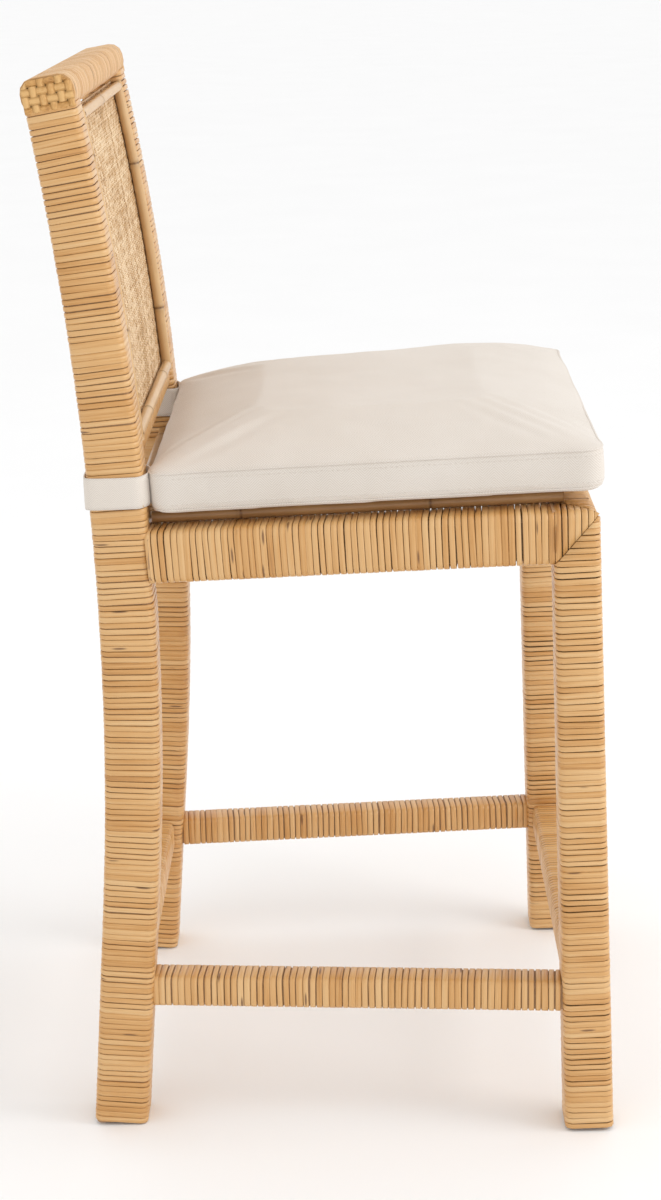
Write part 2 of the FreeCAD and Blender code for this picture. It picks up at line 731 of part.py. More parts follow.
def make_back_panel():
    """The woven panel, curved with the posts, behind the poles."""
    body = new_body("back_panel")
    half = INNER_HALF - D.fit_gap
    sketch = new_sketch(body, "back_panel_section", "YZ_Plane", -half)
    setback = D.back_pole + D.fit_gap
    front = back_arc(setback, BACK_RAIL_TOP, PANEL_TOP)
    back = back_arc(setback + D.panel_thick, BACK_RAIL_TOP, PANEL_TOP)
    add_path(sketch, [front[0], back[0], back[1], front[1]],
             {1: (POST_FRONT_RADIUS, 1), 3: (POST_FRONT_RADIUS, -1)})
    add_pad(body, sketch, 2 * half)
    return keep(body, "back_panel")


def make_back_side_pole(word, sign):
    """A slim pole that follows the inner face of a post."""
    name = f"{word}_back_pole"
    body = new_body(name)
    radius = D.back_pole / 2
    low, high = BACK_RAIL_TOP, PANEL_TOP
    path = new_sketch(body, f"{name}_path", "YZ_Plane", sign * (INNER_HALF - radius))
    add_path(path, back_arc(radius, low, high), {0: (POST_FRONT_RADIUS, 1)}, closed=False)
    ring = new_sketch(body, f"{name}_ring", "XY_Plane", low)
    add_circle(ring, sign * (INNER_HALF - radius), post_front_face(low) + radius, radius)
    doc.recompute()
    pipe = body.newObject("PartDesign::AdditivePipe", f"{name}_pipe")
    pipe.Profile = ring
    pipe.Spine = (path, ["Edge1"])
    return keep(body, name)


def make_back_cross_pole(name, level):
    """A slim pole across the panel, between the side poles."""
    body = new_body(name)
    half = INNER_HALF - D.back_pole
    radius = D.back_pole / 2
    sketch = new_sketch(body, f"{name}_ring", "YZ_Plane", -half)
    add_circle(sketch, post_front_face(level) + radius, level, radius)
    add_pad(body, sketch, 2 * half)
    return keep(body, name)


make_back_panel()
for word, sign in SIDES.items():
    make_back_side_pole(word, sign)
make_back_cross_pole("top_back_pole", PANEL_TOP - D.back_pole / 2)
make_back_cross_pole("bottom_back_pole", BACK_RAIL_TOP + D.back_pole / 2)


# ---------------------------------------------------------------- seat deck

REAR_POLE_Y = REAR_APRON_FRONT + D.seat_pole
POLE_RADIUS = D.seat_pole / 2


def deck_x(y, inset):
    """Half width of the deck at a place, in from the outer face by inset."""
    return D.front_half_width - APRON_SLANT * (y - APRON_FRONT) - inset


def make_seat_side_pole(word, sign):
    """A pole on top of a side apron, from the front pole to the rear post."""
    name = f"{word}_seat_pole"
    body = new_body(name)
    front, rear = FRONT_POLE_Y - POLE_RADIUS, APRON_REAR - D.fit_gap
    sketch = new_sketch(body, f"{name}_ring", "XZ_Plane", -rear)
    add_circle(sketch, sign * deck_x(rear, D.seat_pole_inset), seat_top(rear) + POLE_RADIUS,
               POLE_RADIUS)
    add_slanted_pad(body, sketch, (sign * APRON_SLANT, as_size(-1), D.seat_slope), rear - front)
    return keep(body, name)


def make_seat_cross_pole(name, y, half, lift):
    """A pole across the deck."""
    body = new_body(name)
    sketch = new_sketch(body, f"{name}_ring", "YZ_Plane", -half)
    add_circle(sketch, y, lift + POLE_RADIUS, POLE_RADIUS)
    add_pad(body, sketch, 2 * half)
    return keep(body, name)


def make_seat_panel():
    """The woven deck panel inside the poles, on the inner edges of the aprons."""
    body = new_body("seat_panel_blank")
    inset = D.seat_pole_inset + POLE_RADIUS + D.fit_gap
    sections = []
    for label, y in (("front", FRONT_POLE_Y + POLE_RADIUS + D.fit_gap),
                     ("rear", REAR_POLE_Y - POLE_RADIUS - D.fit_gap)):
        half = deck_x(y, inset)
        base = seat_top(y) + D.fit_gap
        sketch = new_sketch(body, f"seat_panel_{label}", "XZ_Plane", -y)
        add_path(sketch, [(-half, base), (half, base), (half, base + D.seat_panel_thick),
                          (-half, base + D.seat_panel_thick)])
        sections.append(sketch)
    add_loft(body, *sections)
    return body


for word, sign in SIDES.items():
    make_seat_side_pole(word, sign)
make_seat_cross_pole("front_seat_pole", FRONT_POLE_Y,
                     deck_x(FRONT_POLE_Y, D.seat_pole_inset + POLE_RADIUS + D.fit_gap),
                     FRONT_APRON_TOP)
make_seat_cross_pole("rear_seat_pole", REAR_POLE_Y, INNER_HALF - D.fit_gap, REAR_APRON_TOP)
seat_panel = make_seat_panel()
keep(cut_all("seat_panel", seat_panel, [legs[name].outside for name in REAR_POSTS]), "seat_panel")


# ---------------------------------------------------------------- cushion and straps

SEAT_TILT = Rotation(ACROSS, -math.degrees(math.atan(D.seat_slope.value)))
CUSHION_SPOT = (0, D.cushion_rear, seat_top(D.cushion_rear) + D.seat_pole + D.fit_gap)


def cushion_form(name, inset):
    """The boxed cushion, wider at the front, set in all round by inset, in its own frame."""
    body = new_body(name)
    sketch = new_sketch(body, f"{name}_plan", "XY_Plane", inset)
    rear, front = -inset, -D.cushion_length + inset
    rear_half, front_half = D.cushion_rear_half - inset, D.cushion_front_half - inset
    add_path(sketch, [(-front_half, front), (front_half, front), (rear_half, rear),
                      (-rear_half, rear)])
    pad = add_pad(body, sketch, D.cushion_height - 2 * inset)
    corners = round_edges(body, pad, D.cushion_corner - inset, lambda edge: runs_along(edge, UP))
    top_level = D.cushion_height.value - inset.value
    crown = round_edges(body, corners, D.cushion_crown - inset,
                        lambda edge: edge.BoundBox.ZMin > top_level - 0.01)
    under_level = inset.value
    round_edges(body, crown, D.cushion_under - inset,
                lambda edge: edge.BoundBox.ZMax < under_level + 0.01)
    return place(body, CUSHION_SPOT, SEAT_TILT)


def make_zip():
    """The zip in the rear boxing, laid on the cushion's rear face."""
    tape = doc.addObject("Part::Box", "cushion_zip_tape")
    bind(tape, "Length", D.zip_length)
    bind(tape, "Width", D.zip_thick)
    bind(tape, "Height", D.zip_width)
    place(tape, (-D.zip_length / 2, 0, D.zip_base))
    placed = doc.addObject("Part::Compound", "cushion_zip")
    placed.Links = [tape]
    place(placed, CUSHION_SPOT, SEAT_TILT)
    return keep(placed, "cushion_zip")


def make_strap(word, sign):
    """A strap round a rear post, open to the cushion."""
    name = f"{word}_cushion_strap"
    body = new_body(name)
    sketch = new_sketch(body, f"{name}_plan", "XY_Plane", D.strap_level)
    top = D.strap_level + D.strap_width
    outer = D.rear_half_width + D.strap_gap
    inner = INNER_HALF - D.strap_gap
    back = D.post_rear + arc_offset(D.post_radius, top - D.post_upright) + D.strap_gap
    front = D.cushion_rear + D.strap_thick + D.fit_gap
    thick = D.strap_thick
    corners = [(outer + thick, front), (outer + thick, back + thick), (inner - thick, back + thick),
               (inner - thick, front), (inner, front), (inner, back), (outer, back),
               (outer, front)]
    add_path(sketch, [(sign * x, y) for x, y in corners])
    add_pad(body, sketch, D.strap_width)
    keep(body, name)
    patch = doc.addObject("Part::Box", f"{word}_strap_closure")
    bind(patch, "Length", D.closure_thick)
    bind(patch, "Width", D.closure_length)
    bind(patch, "Height", D.strap_width - 2 * D.closure_margin)
    edge = inner - thick
    x = edge - D.closure_thick if sign > 0 else -edge
    place(patch, (x, back - D.closure_length, D.strap_level + D.closure_margin))
    return patch


foam = keep(cushion_form("cushion_foam", D.cover_thick), "cushion_foam")
cover = cushion_form("cushion_cover_outside", as_size(0))
keep(cut_all("cushion_cover", cover, [foam]), "cushion_cover")
make_zip()
closures = [make_strap(word, sign) for word, sign in SIDES.items()]
keep(group_of("strap_closures", closures), "strap_closures")


# ---------------------------------------------------------------- check and write

def write_parts():
    """Check every object and sub-part, then write one STEP file for each sub-part."""
    doc.recompute()
    failed = [item.Name for item in doc.Objects
              if "Invalid" in item.State or "Error" in item.State]
    for node in NODES:
        if node.Shape.isNull() or not node.Shape.isValid() or not node.Shape.Solids:
            failed.append(node.Label)
    if failed:
        raise RuntimeError(f"these objects did not build: {failed}")
    os.makedirs("parts", exist_ok=True)
    for node in NODES:
        node.Shape.exportStep(f"parts/{node.Label}.step")
    print(f"{len(NODES)} sub-parts written")


write_parts()
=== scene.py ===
"""Bar stool with a footrest: wound rattan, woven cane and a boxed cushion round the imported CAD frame."""

import json
import logging
import math
import random
from dataclasses import dataclass, field
from enum import Enum
from functools import lru_cache
from typing import Any, Sequence

import bmesh
import bpy
import numpy as np
from mathutils import Matrix, Vector, noise
from mathutils.bvhtree import BVHTree


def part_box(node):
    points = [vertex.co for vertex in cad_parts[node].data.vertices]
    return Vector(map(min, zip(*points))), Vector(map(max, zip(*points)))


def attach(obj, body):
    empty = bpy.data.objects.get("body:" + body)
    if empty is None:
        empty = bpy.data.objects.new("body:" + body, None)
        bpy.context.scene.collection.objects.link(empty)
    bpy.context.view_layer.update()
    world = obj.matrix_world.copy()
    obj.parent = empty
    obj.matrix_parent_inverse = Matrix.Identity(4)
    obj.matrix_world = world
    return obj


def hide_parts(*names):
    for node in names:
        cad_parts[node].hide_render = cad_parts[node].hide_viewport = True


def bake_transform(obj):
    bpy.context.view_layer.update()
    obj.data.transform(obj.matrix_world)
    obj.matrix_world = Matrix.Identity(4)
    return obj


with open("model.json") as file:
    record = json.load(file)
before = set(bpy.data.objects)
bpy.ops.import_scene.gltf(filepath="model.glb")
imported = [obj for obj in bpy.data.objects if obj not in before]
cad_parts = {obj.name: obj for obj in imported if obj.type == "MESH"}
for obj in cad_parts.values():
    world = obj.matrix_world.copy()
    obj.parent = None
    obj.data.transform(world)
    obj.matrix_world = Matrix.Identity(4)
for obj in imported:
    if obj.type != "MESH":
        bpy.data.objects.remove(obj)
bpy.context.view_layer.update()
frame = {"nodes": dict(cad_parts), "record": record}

LOG = logging.getLogger("bar_stool")
MM = 0.001
SIDES = {"left": 1.0, "right": -1.0}
UP = Vector((0.0, 0.0, 1.0))
ACROSS = Vector((1.0, 0.0, 0.0))


class Axis(Enum):
    """A direction that a member of the stool runs in."""

    X = 0
    Y = 1
    Z = 2


class Weave(Enum):
    """How many strands a strand passes over before it dips."""

    PLAIN = 1
    TWILL = 2


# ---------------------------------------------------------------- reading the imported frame

@lru_cache(maxsize=None)
def triangles(node: str) -> np.ndarray:
    """The triangles of a CAD node.

    Args:
        node: Name of the CAD node.

    Returns:
        An array of triangle corners, one row of three points for each triangle.
    """
    mesh = frame["nodes"][node].data
    mesh.calc_loop_triangles()
    corners = np.array([vertex.co for vertex in mesh.vertices])
    return corners[np.array([list(tri.vertices) for tri in mesh.loop_triangles])]


def slice_points(node: str, axis: Axis, level: float) -> np.ndarray:
    """The points where a CAD node's edges cross a plane.

    Args:
        node: Name of the CAD node.
        axis: The direction that the plane faces.
        level: Where the plane stands along that direction.

    Returns:
        The crossing points, one in each row.
    """
    tris = triangles(node)
    found = []
    for first, second in ((0, 1), (1, 2), (2, 0)):
        p, q = tris[:, first], tris[:, second]
        dp, dq = p[:, axis.value] - level, q[:, axis.value] - level
        crossed = dp * dq < 0
        share = dp[crossed] / (dp[crossed] - dq[crossed])
        found.append(p[crossed] + (q[crossed] - p[crossed]) * share[:, None])
    return np.concatenate(found)


def slice_box(node: str, axis: Axis, level: float) -> tuple[Vector, Vector]:
    """The lowest and highest corner of a slice through a CAD node.

    Args:
        node: Name of the CAD node.
        axis: The direction that the slice faces.
        level: Where the slice stands along that direction.

    Returns:
        The two corners of the slice.
    """
    points = slice_points(node, axis, level)
    return Vector(points.min(0)), Vector(points.max(0))


# ---------------------------------------------------------------- node trees

class Graph:
    """Adds nodes to one node tree and joins them in the same call."""

    STEP = 190

    def __init__(self, tree: bpy.types.NodeTree) -> None:
        """Start on a tree.

        Args:
            tree: The node tree to add to.
        """
        self.tree = tree

    def add(self, kind: str, values: dict[Any, Any] | None = None, **settings: Any) -> bpy.types.Node:
        """Add a node.

        Args:
            kind: The node's type.
            values: A number, node or socket for each input, by its name or number.
            **settings: The node's own settings, such as its operation.

        Returns:
            The new node.
        """
        node = self.tree.nodes.new(kind)
        node.location = (self.STEP * len(self.tree.nodes), 0)
        for name, setting in settings.items():
            setattr(node, name, setting)
        for key, value in (values or {}).items():
            sockets = node.inputs
            socket = sockets[key] if isinstance(key, int) else next(
                item for item in sockets if item.name == key and item.enabled)
            self.feed(socket, value)
        return node

    def feed(self, socket: bpy.types.NodeSocket, value: Any) -> None:
        """Give an input its value or join it to an output.

        Args:
            socket: The input.
            value: A number, a node whose first output is meant, or an output socket.
        """
        if isinstance(value, bpy.types.Node):
            value = next(item for item in value.outputs if item.enabled)
        if isinstance(value, bpy.types.NodeSocket):
            self.tree.links.new(value, socket)
        else:
            socket.default_value = value

    def math(self, operation: str, *values: Any, clamp: bool = False) -> bpy.types.Node:
        """A Math node on one, two or three values."""
        return self.add("ShaderNodeMath", dict(enumerate(values)), operation=operation,
                        use_clamp=clamp)

    def vector(self, operation: str, *values: Any) -> bpy.types.Node:
        """A Vector Math node on one or two vectors."""
        return self.add("ShaderNodeVectorMath", dict(enumerate(values)), operation=operation)

    def scaled(self, vector: Any, scale: Sequence[float]) -> bpy.types.Node:
        """A vector stretched by a fixed amount along each axis."""
        return self.vector("MULTIPLY", vector, tuple(scale))

    def ramp(self, value: Any, low: float, high: float, start: float = 0.0,
             end: float = 1.0) -> bpy.types.Node:
        """A Map Range node that eases from start to end as a value goes from low to high."""
        return self.add("ShaderNodeMapRange", {"Value": value, "From Min": low, "From Max": high,
                                               "To Min": start, "To Max": end},
                        interpolation_type="SMOOTHSTEP")

    def attribute(self, name: str) -> bpy.types.bpy_prop_collection:
        """The outputs of a node that reads an attribute stored in the mesh."""
        return self.add("ShaderNodeAttribute", attribute_name=name).outputs

    def noise(self, place: Any, scale: Any = 1.0, detail: float = 2.0,
              roughness: float = 0.5) -> bpy.types.NodeSocket:
        """The value of a Noise Texture node."""
        node = self.add("ShaderNodeTexNoise", {"Vector": place, "Scale": scale, "Detail": detail,
                                               "Roughness": roughness})
        return node.outputs["Fac"]

    def blend(self, share: Any, first: Any, second: Any) -> bpy.types.NodeSocket:
        """The colour of a Mix node on two colours."""
        node = self.add("ShaderNodeMix", {"Factor": share}, data_type="RGBA")
        self.feed(node.inputs[6], first)
        self.feed(node.inputs[7], second)
        return node.outputs[2]

    def colours(self, value: Any,
                stops: Sequence[tuple[float, Sequence[float]]]) -> bpy.types.NodeSocket:
        """The colour of a Color Ramp node.

        Args:
            value: What picks the colour.
            stops: Places from 0 to 1, each with its colour.

        Returns:
            The colour output.
        """
        node = self.add("ShaderNodeValToRGB", {"Fac": value})
        band = node.color_ramp
        while len(band.elements) < len(stops):
            band.elements.new(0.5)
        for element, (place, colour) in zip(band.elements, stops):
            element.position = place
            element.color = (*colour, 1.0)
        return node.outputs["Color"]

    def hand_on(self, out: bpy.types.Node, geometry: Any, finish: Any) -> bpy.types.NodeTree:
        """End a geometry tree.

        Args:
            out: The group's output node.
            geometry: What the tree has made.
            finish: The material to give it.

        Returns:
            The finished tree.
        """
        solid = self.add("GeometryNodeRealizeInstances", {"Geometry": geometry})
        solid = self.add("GeometryNodeSetMaterial", {"Geometry": solid, "Material": finish})
        self.feed(out.inputs["Geometry"], solid)
        return self.tree


def new_tree(name: str, kind: str, inputs: Sequence[tuple[str, str, Any]],
             outputs: Sequence[tuple[str, str]]) -> tuple[Graph, Any, Any]:
    """Start a named node group.

    Args:
        name: The group's name.
        kind: GeometryNodeTree or ShaderNodeTree.
        inputs: Name, socket kind and default of each input.
        outputs: Name and socket kind of each output.

    Returns:
        The graph, the group's input node and its output node.
    """
    tree = bpy.data.node_groups.new(name, kind)
    for label, socket, default in inputs:
        made = tree.interface.new_socket(label, in_out="INPUT", socket_type=f"NodeSocket{socket}")
        if default is not None:
            made.default_value = default
    for label, socket in outputs:
        tree.interface.new_socket(label, in_out="OUTPUT", socket_type=f"NodeSocket{socket}")
    graph = Graph(tree)
    return graph, graph.add("NodeGroupInput"), graph.add("NodeGroupOutput")


# ---------------------------------------------------------------- shared shader groups

def make_fibre_group() -> bpy.types.NodeTree:
    """Long fibres, short fibres and knots of split rattan, as a shader group."""
    g, given, out = new_tree(
        "rattan_fibre", "ShaderNodeTree",
        [("Place", "Vector", None), ("Pick", "Float", 0.0)],
        [("Streak", "Float"), ("Fine", "Float"), ("Knot", "Float")])
    shift = g.add("ShaderNodeCombineXYZ", {"X": g.math("MULTIPLY", given.outputs["Pick"], 7.3),
                                           "Y": g.math("MULTIPLY", given.outputs["Pick"], 3.1)})
    place = g.vector("ADD", given.outputs["Place"], shift)
    cells = g.add("ShaderNodeTexVoronoi", {"Vector": g.scaled(place, (26, 26, 170)), "Scale": 1.0,
                                           "Randomness": 1.0})
    tint = g.add("ShaderNodeSeparateColor", {"Color": cells.outputs["Color"]})
    rare = g.math("GREATER_THAN", tint.outputs[0], 0.86)
    spot = g.ramp(cells.outputs["Distance"], 0.10, 0.24, 1.0, 0.0)
    g.feed(out.inputs["Streak"], g.noise(g.scaled(place, (14, 14, 620)), 1.0, 3.0, 0.6))
    g.feed(out.inputs["Fine"], g.noise(g.scaled(place, (70, 70, 2400))))
    g.feed(out.inputs["Knot"], g.math("MULTIPLY", rare, spot))
    return g.tree


def make_patch_group() -> bpy.types.NodeTree:
    """Broad patches of darker and lighter colour over the whole stool, as a shader group."""
    g, given, out = new_tree("sun_patches", "ShaderNodeTree", [("Size", "Float", 12.0)],
                             [("Patch", "Float"), ("Speck", "Float")])
    place = g.add("ShaderNodeTexCoord").outputs["Object"]
    g.feed(out.inputs["Patch"], g.noise(place, given.outputs["Size"], 3.0, 0.55))
    g.feed(out.inputs["Speck"], g.noise(place, 420.0))
    return g.tree


def make_herringbone_group() -> bpy.types.NodeTree:
    """A herringbone cloth on the piece's own UV map in metres, as a shader group."""
    g, given, out = new_tree(
        "herringbone", "ShaderNodeTree",
        [("Rib", "Float", 0.0021), ("Column", "Float", 0.011)],
        [("Rib", "Float"), ("Thread", "Float")])
    place = g.add("ShaderNodeUVMap", uv_map="cloth")
    split = g.add("ShaderNodeSeparateXYZ", {"Vector": place})
    zigzag = g.math("PINGPONG", split.outputs["X"], given.outputs["Column"])
    climb = g.math("ADD", split.outputs["Y"], zigzag)
    turns = g.math("MULTIPLY", g.math("DIVIDE", climb, given.outputs["Rib"]), math.tau)
    rib = g.math("MULTIPLY_ADD", g.math("SINE", turns), 0.5, 0.5)
    g.feed(out.inputs["Rib"], rib)
    g.feed(out.inputs["Thread"], g.noise(g.scaled(place, (2600, 900, 1))))
    return g.tree


@lru_cache(maxsize=None)
def group(name: str) -> bpy.types.NodeTree:
    """A shared shader group, made when it is first asked for."""
    makers = {"fibre": make_fibre_group, "patch": make_patch_group,
              "herringbone": make_herringbone_group}
    return makers[name]()


def shader(name: str) -> tuple[Graph, bpy.types.Node, bpy.types.Material]:
    """Start a material.

    Args:
        name: The material's name.

    Returns:
        Its graph, its Principled BSDF and the material.
    """
    material = bpy.data.materials.new(f"{name}_finish")
    material.use_nodes = True
    graph = Graph(material.node_tree)
    return graph, graph.tree.nodes["Principled BSDF"], material


def dress(g: Graph, bsdf: bpy.types.Node, bump: tuple[Any, float, float] | None = None,
          **values: Any) -> None:
    """Set the inputs of a Principled BSDF.

    Args:
        g: The material's graph.
        bsdf: The Principled BSDF.
        bump: The height that its bump follows, its strength and its distance.
        **values: A number, node or socket for each input, with underscores for spaces in its name.
    """
    if bump:
        height, strength, distance = bump
        values["Normal"] = g.add("ShaderNodeBump", {"Height": height, "Strength": strength,
                                                    "Distance": distance})
    for name, value in values.items():
        g.feed(bsdf.inputs[name.replace("_", " ")], value)


# ---------------------------------------------------------------- finishes

@dataclass(frozen=True)
class RattanPeel:
    """Split rattan peel as it is wound on the frame, with painted shade darkening each strip towards its
    edges where it meets the next.
    """

    name: str = "rattan_peel"
    dark: tuple[float, float, float] = (0.400, 0.180, 0.052)
    orange: tuple[float, float, float] = (0.590, 0.296, 0.086)
    golden: tuple[float, float, float] = (0.680, 0.388, 0.148)
    pale: tuple[float, float, float] = (0.760, 0.500, 0.240)
    # dark brown used both for painted shade in the gaps between strips and for the real fibre splits and
    # knots
    crevice_shade_and_knot: tuple[float, float, float] = (0.160, 0.066, 0.020)
    half_width: float = 2.75 * MM

    def material(self) -> bpy.types.Material:
        """Build the material."""
        g, bsdf, made = shader(self.name)
        place, pick = g.attribute("peel")["Vector"], g.attribute("pick")["Fac"]
        fibre = g.add("ShaderNodeGroup", node_tree=group("fibre"))
        g.feed(fibre.inputs["Place"], place)
        g.feed(fibre.inputs["Pick"], g.math("MULTIPLY", pick, 31.0))
        streak, fine, knot = fibre.outputs
        patch = g.add("ShaderNodeGroup", {"Size": 11.0}, node_tree=group("patch"))
        own = g.math("MULTIPLY_ADD", pick, 0.34, 0.10)
        tone = g.math("ADD", own, g.math("MULTIPLY", patch.outputs["Patch"], 0.48))
        tone = g.math("ADD", tone, g.math("MULTIPLY_ADD", streak, 0.75, -0.37))
        colour = g.colours(tone, [(0.12, self.dark), (0.30, self.orange), (0.52, self.golden),
                                  (0.86, self.pale)])
        across = g.add("ShaderNodeSeparateXYZ", {"Vector": place}).outputs["Z"]
        # painted shade: each strip is darkened towards its edges, where it meets the next strip, standing
        # in for the shade in the gaps; its strength differs from strip to strip
        edge = g.ramp(g.math("ABSOLUTE", across), self.half_width * 0.84, self.half_width)
        crevice_shade_strength = g.math("MULTIPLY_ADD", g.math("FRACT", g.math("MULTIPLY", pick, 17.0)), 0.75, 0.1)
        crevice_shade_strength = g.math("MULTIPLY", crevice_shade_strength, g.ramp(streak, 0.35, 0.65, 1.0, 0.4))
        edge = g.math("MULTIPLY", edge, crevice_shade_strength)
        split = g.ramp(streak, 0.19, 0.27, 0.75, 0.0)
        # the darkening mask: painted shade at the strip edges together with real fibre splits and knots
        crevice_shade_splits_knots = g.math("MAXIMUM", g.math("MAXIMUM", edge, split), g.math("MULTIPLY", knot, 0.85))
        height = g.math("ADD", g.math("MULTIPLY", streak, 0.8), g.math("MULTIPLY", fine, 0.2))
        height = g.math("SUBTRACT", height, g.math("MULTIPLY", knot, 0.6))
        dress(g, bsdf, (height, 0.55, 0.35 * MM), Specular_IOR_Level=0.5, Coat_Weight=0.22,
              Base_Color=g.blend(crevice_shade_splits_knots, colour, (*self.crevice_shade_and_knot, 1.0)), Coat_Roughness=0.28,
              Roughness=g.math("MULTIPLY_ADD", fine, 0.22, 0.30))
        return made


@dataclass(frozen=True)
class RattanRound:
    """A whole rattan pole with its nodes."""

    name: str = "rattan_pole"
    body: tuple[float, float, float] = (0.560, 0.325, 0.135)
    light: tuple[float, float, float] = (0.740, 0.500, 0.250)
    ring: tuple[float, float, float] = (0.130, 0.060, 0.022)

    def material(self) -> bpy.types.Material:
        """Build the material."""
        g, bsdf, made = shader(self.name)
        place, pick = g.attribute("peel")["Vector"], g.attribute("pick")["Fac"]
        fibre = g.add("ShaderNodeGroup", {"Place": place, "Pick": pick}, node_tree=group("fibre"))
        streak = fibre.outputs["Streak"]
        patch = g.add("ShaderNodeGroup", {"Size": 22.0}, node_tree=group("patch"))
        tone = g.math("ADD", g.math("MULTIPLY", patch.outputs["Patch"], 0.7),
                      g.math("MULTIPLY", streak, 0.35))
        colour = g.colours(tone, [(0.25, self.body), (0.75, self.light)])
        dark = g.math("MULTIPLY", g.math("POWER", g.attribute("ring")["Fac"], 1.6),
                      g.ramp(streak, 0.2, 0.7, 0.55, 1.0))
        dress(g, bsdf, (streak, 0.3, 0.3 * MM), Specular_IOR_Level=0.45, Coat_Weight=0.2,
              Base_Color=g.blend(dark, colour, (*self.ring, 1.0)), Coat_Roughness=0.25,
              Roughness=g.math("MULTIPLY_ADD", patch.outputs["Speck"], 0.25, 0.25))
        return made


@dataclass(frozen=True)
class Cane:
    """Woven cane strands, or the plaited peel on the rail ends."""

    name: str = "woven_cane"
    dark: tuple[float, float, float] = (0.230, 0.105, 0.034)
    mid: tuple[float, float, float] = (0.560, 0.330, 0.140)
    light: tuple[float, float, float] = (0.860, 0.660, 0.430)

    def material(self) -> bpy.types.Material:
        """Build the material."""
        g, bsdf, made = shader(self.name)
        patch = g.add("ShaderNodeGroup", {"Size": 30.0}, node_tree=group("patch"))
        fleck = g.noise(g.scaled(g.attribute("peel")["Vector"], (260, 260, 900)))
        tone = g.math("MULTIPLY_ADD", g.attribute("pick")["Fac"], 0.30, 0.05)
        tone = g.math("ADD", tone, g.math("MULTIPLY", fleck, 0.72))
        tone = g.math("ADD", tone, g.math("MULTIPLY_ADD", patch.outputs["Patch"], 0.4, -0.2))
        colour = g.colours(tone, [(0.22, self.dark), (0.44, self.mid), (0.70, self.light)])
        dress(g, bsdf, (fleck, 0.4, 0.2 * MM), Base_Color=colour, Specular_IOR_Level=0.4,
              Roughness=g.math("MULTIPLY_ADD", fleck, 0.25, 0.34))
        return made


@dataclass(frozen=True)
class Cloth:
    """Herringbone cotton of the cushion and its straps."""

    name: str = "cushion_fabric"
    thread: tuple[float, float, float] = (0.765, 0.705, 0.640)
    shade: tuple[float, float, float] = (0.590, 0.515, 0.435)
    rib: float = 2.3 * MM
    column: float = 10.0 * MM
    relief: float = 0.30 * MM

    def material(self) -> bpy.types.Material:
        """Build the material."""
        g, bsdf, made = shader(self.name)
        bone = g.add("ShaderNodeGroup", {"Rib": self.rib, "Column": self.column},
                     node_tree=group("herringbone"))
        patch = g.add("ShaderNodeGroup", {"Size": 9.0}, node_tree=group("patch"))
        rib, thread = bone.outputs
        mix = g.math("ADD", g.math("MULTIPLY", rib, 0.42), g.math("MULTIPLY", thread, 0.75))
        mix = g.math("ADD", mix, g.math("MULTIPLY_ADD", patch.outputs["Patch"], 0.5, -0.20))
        height = g.math("ADD", g.math("MULTIPLY", rib, 0.7), g.math("MULTIPLY", thread, 0.3))
        dress(g, bsdf, (height, 0.5, self.relief), Specular_IOR_Level=0.15, Sheen_Weight=0.25,
              Base_Color=g.colours(mix, [(0.18, self.shade), (0.78, self.thread)]),
              Sheen_Roughness=0.5, Roughness=g.math("MULTIPLY_ADD", thread, 0.15, 0.80))
        return made


@dataclass(frozen=True)
class Plain:
    """A quiet finish with grain, for wood, metal, foam, nylon and tape."""

    name: str
    base: tuple[float, float, float]
    other: tuple[float, float, float]
    roughness: float = 0.5
    metallic: float = 0.0
    stretch: tuple[float, float, float] = (60.0, 60.0, 60.0)
    relief: float = 0.2 * MM

    def material(self) -> bpy.types.Material:
        """Build the material."""
        g, bsdf, made = shader(self.name)
        place = g.add("ShaderNodeTexCoord").outputs["Object"]
        grain = g.noise(g.scaled(place, self.stretch), 1.0, 4.0, 0.6)
        dress(g, bsdf, (grain, 0.4, self.relief), Metallic=self.metallic,
              Base_Color=g.colours(grain, [(0.3, self.base), (0.7, self.other)]),
              Roughness=g.math("MULTIPLY_ADD", grain, 0.2, self.roughness - 0.1))
        return made


class Finishes:
    """Every material of the stool, each built once."""

    def __init__(self) -> None:
        """Build the materials."""
        self.peel = RattanPeel().material()
        self.pole = RattanRound().material()
        # a darker copy of the pole finish for the seat poles: painted shade for their place under the
        # cushion's overhang
        self.painted_shade_pole = RattanRound("seat_pole", (0.300, 0.150, 0.052),
                                       (0.480, 0.275, 0.115)).material()
        self.cane = Cane().material()
        self.plait = Cane("plaited_rattan", (0.360, 0.160, 0.046), (0.620, 0.330, 0.105),
                          (0.740, 0.450, 0.180)).material()
        self.cloth = Cloth().material()
        self.tape = Cloth("strap_tape", (0.775, 0.710, 0.640), (0.610, 0.540, 0.460),
                          2.0 * MM, 7.0 * MM, 0.25 * MM).material()
        self.wood = Plain("hardwood", (0.330, 0.180, 0.085), (0.470, 0.285, 0.150), 0.6,
                          stretch=(260.0, 40.0, 24.0)).material()
        self.foam = Plain("cushion_foam", (0.820, 0.780, 0.640), (0.880, 0.850, 0.730), 0.9,
                          stretch=(700.0, 700.0, 700.0)).material()
        self.hook = Plain("hook_and_loop", (0.640, 0.600, 0.540), (0.780, 0.740, 0.680), 0.85,
                          stretch=(1500.0, 1500.0, 1500.0)).material()
        self.zip = Plain("zip_tape", (0.700, 0.650, 0.580), (0.790, 0.740, 0.670), 0.75,
                         stretch=(900.0, 300.0, 900.0)).material()
        self.steel = Plain("screw_steel", (0.480, 0.470, 0.450), (0.620, 0.610, 0.590), 0.38,
                           1.0, (500.0, 500.0, 90.0), 0.05 * MM).material()
        self.nylon = Plain("glide_nylon", (0.090, 0.085, 0.080), (0.140, 0.130, 0.120), 0.45,
                           stretch=(300.0, 300.0, 300.0)).material()


# ---------------------------------------------------------------- mesh helpers

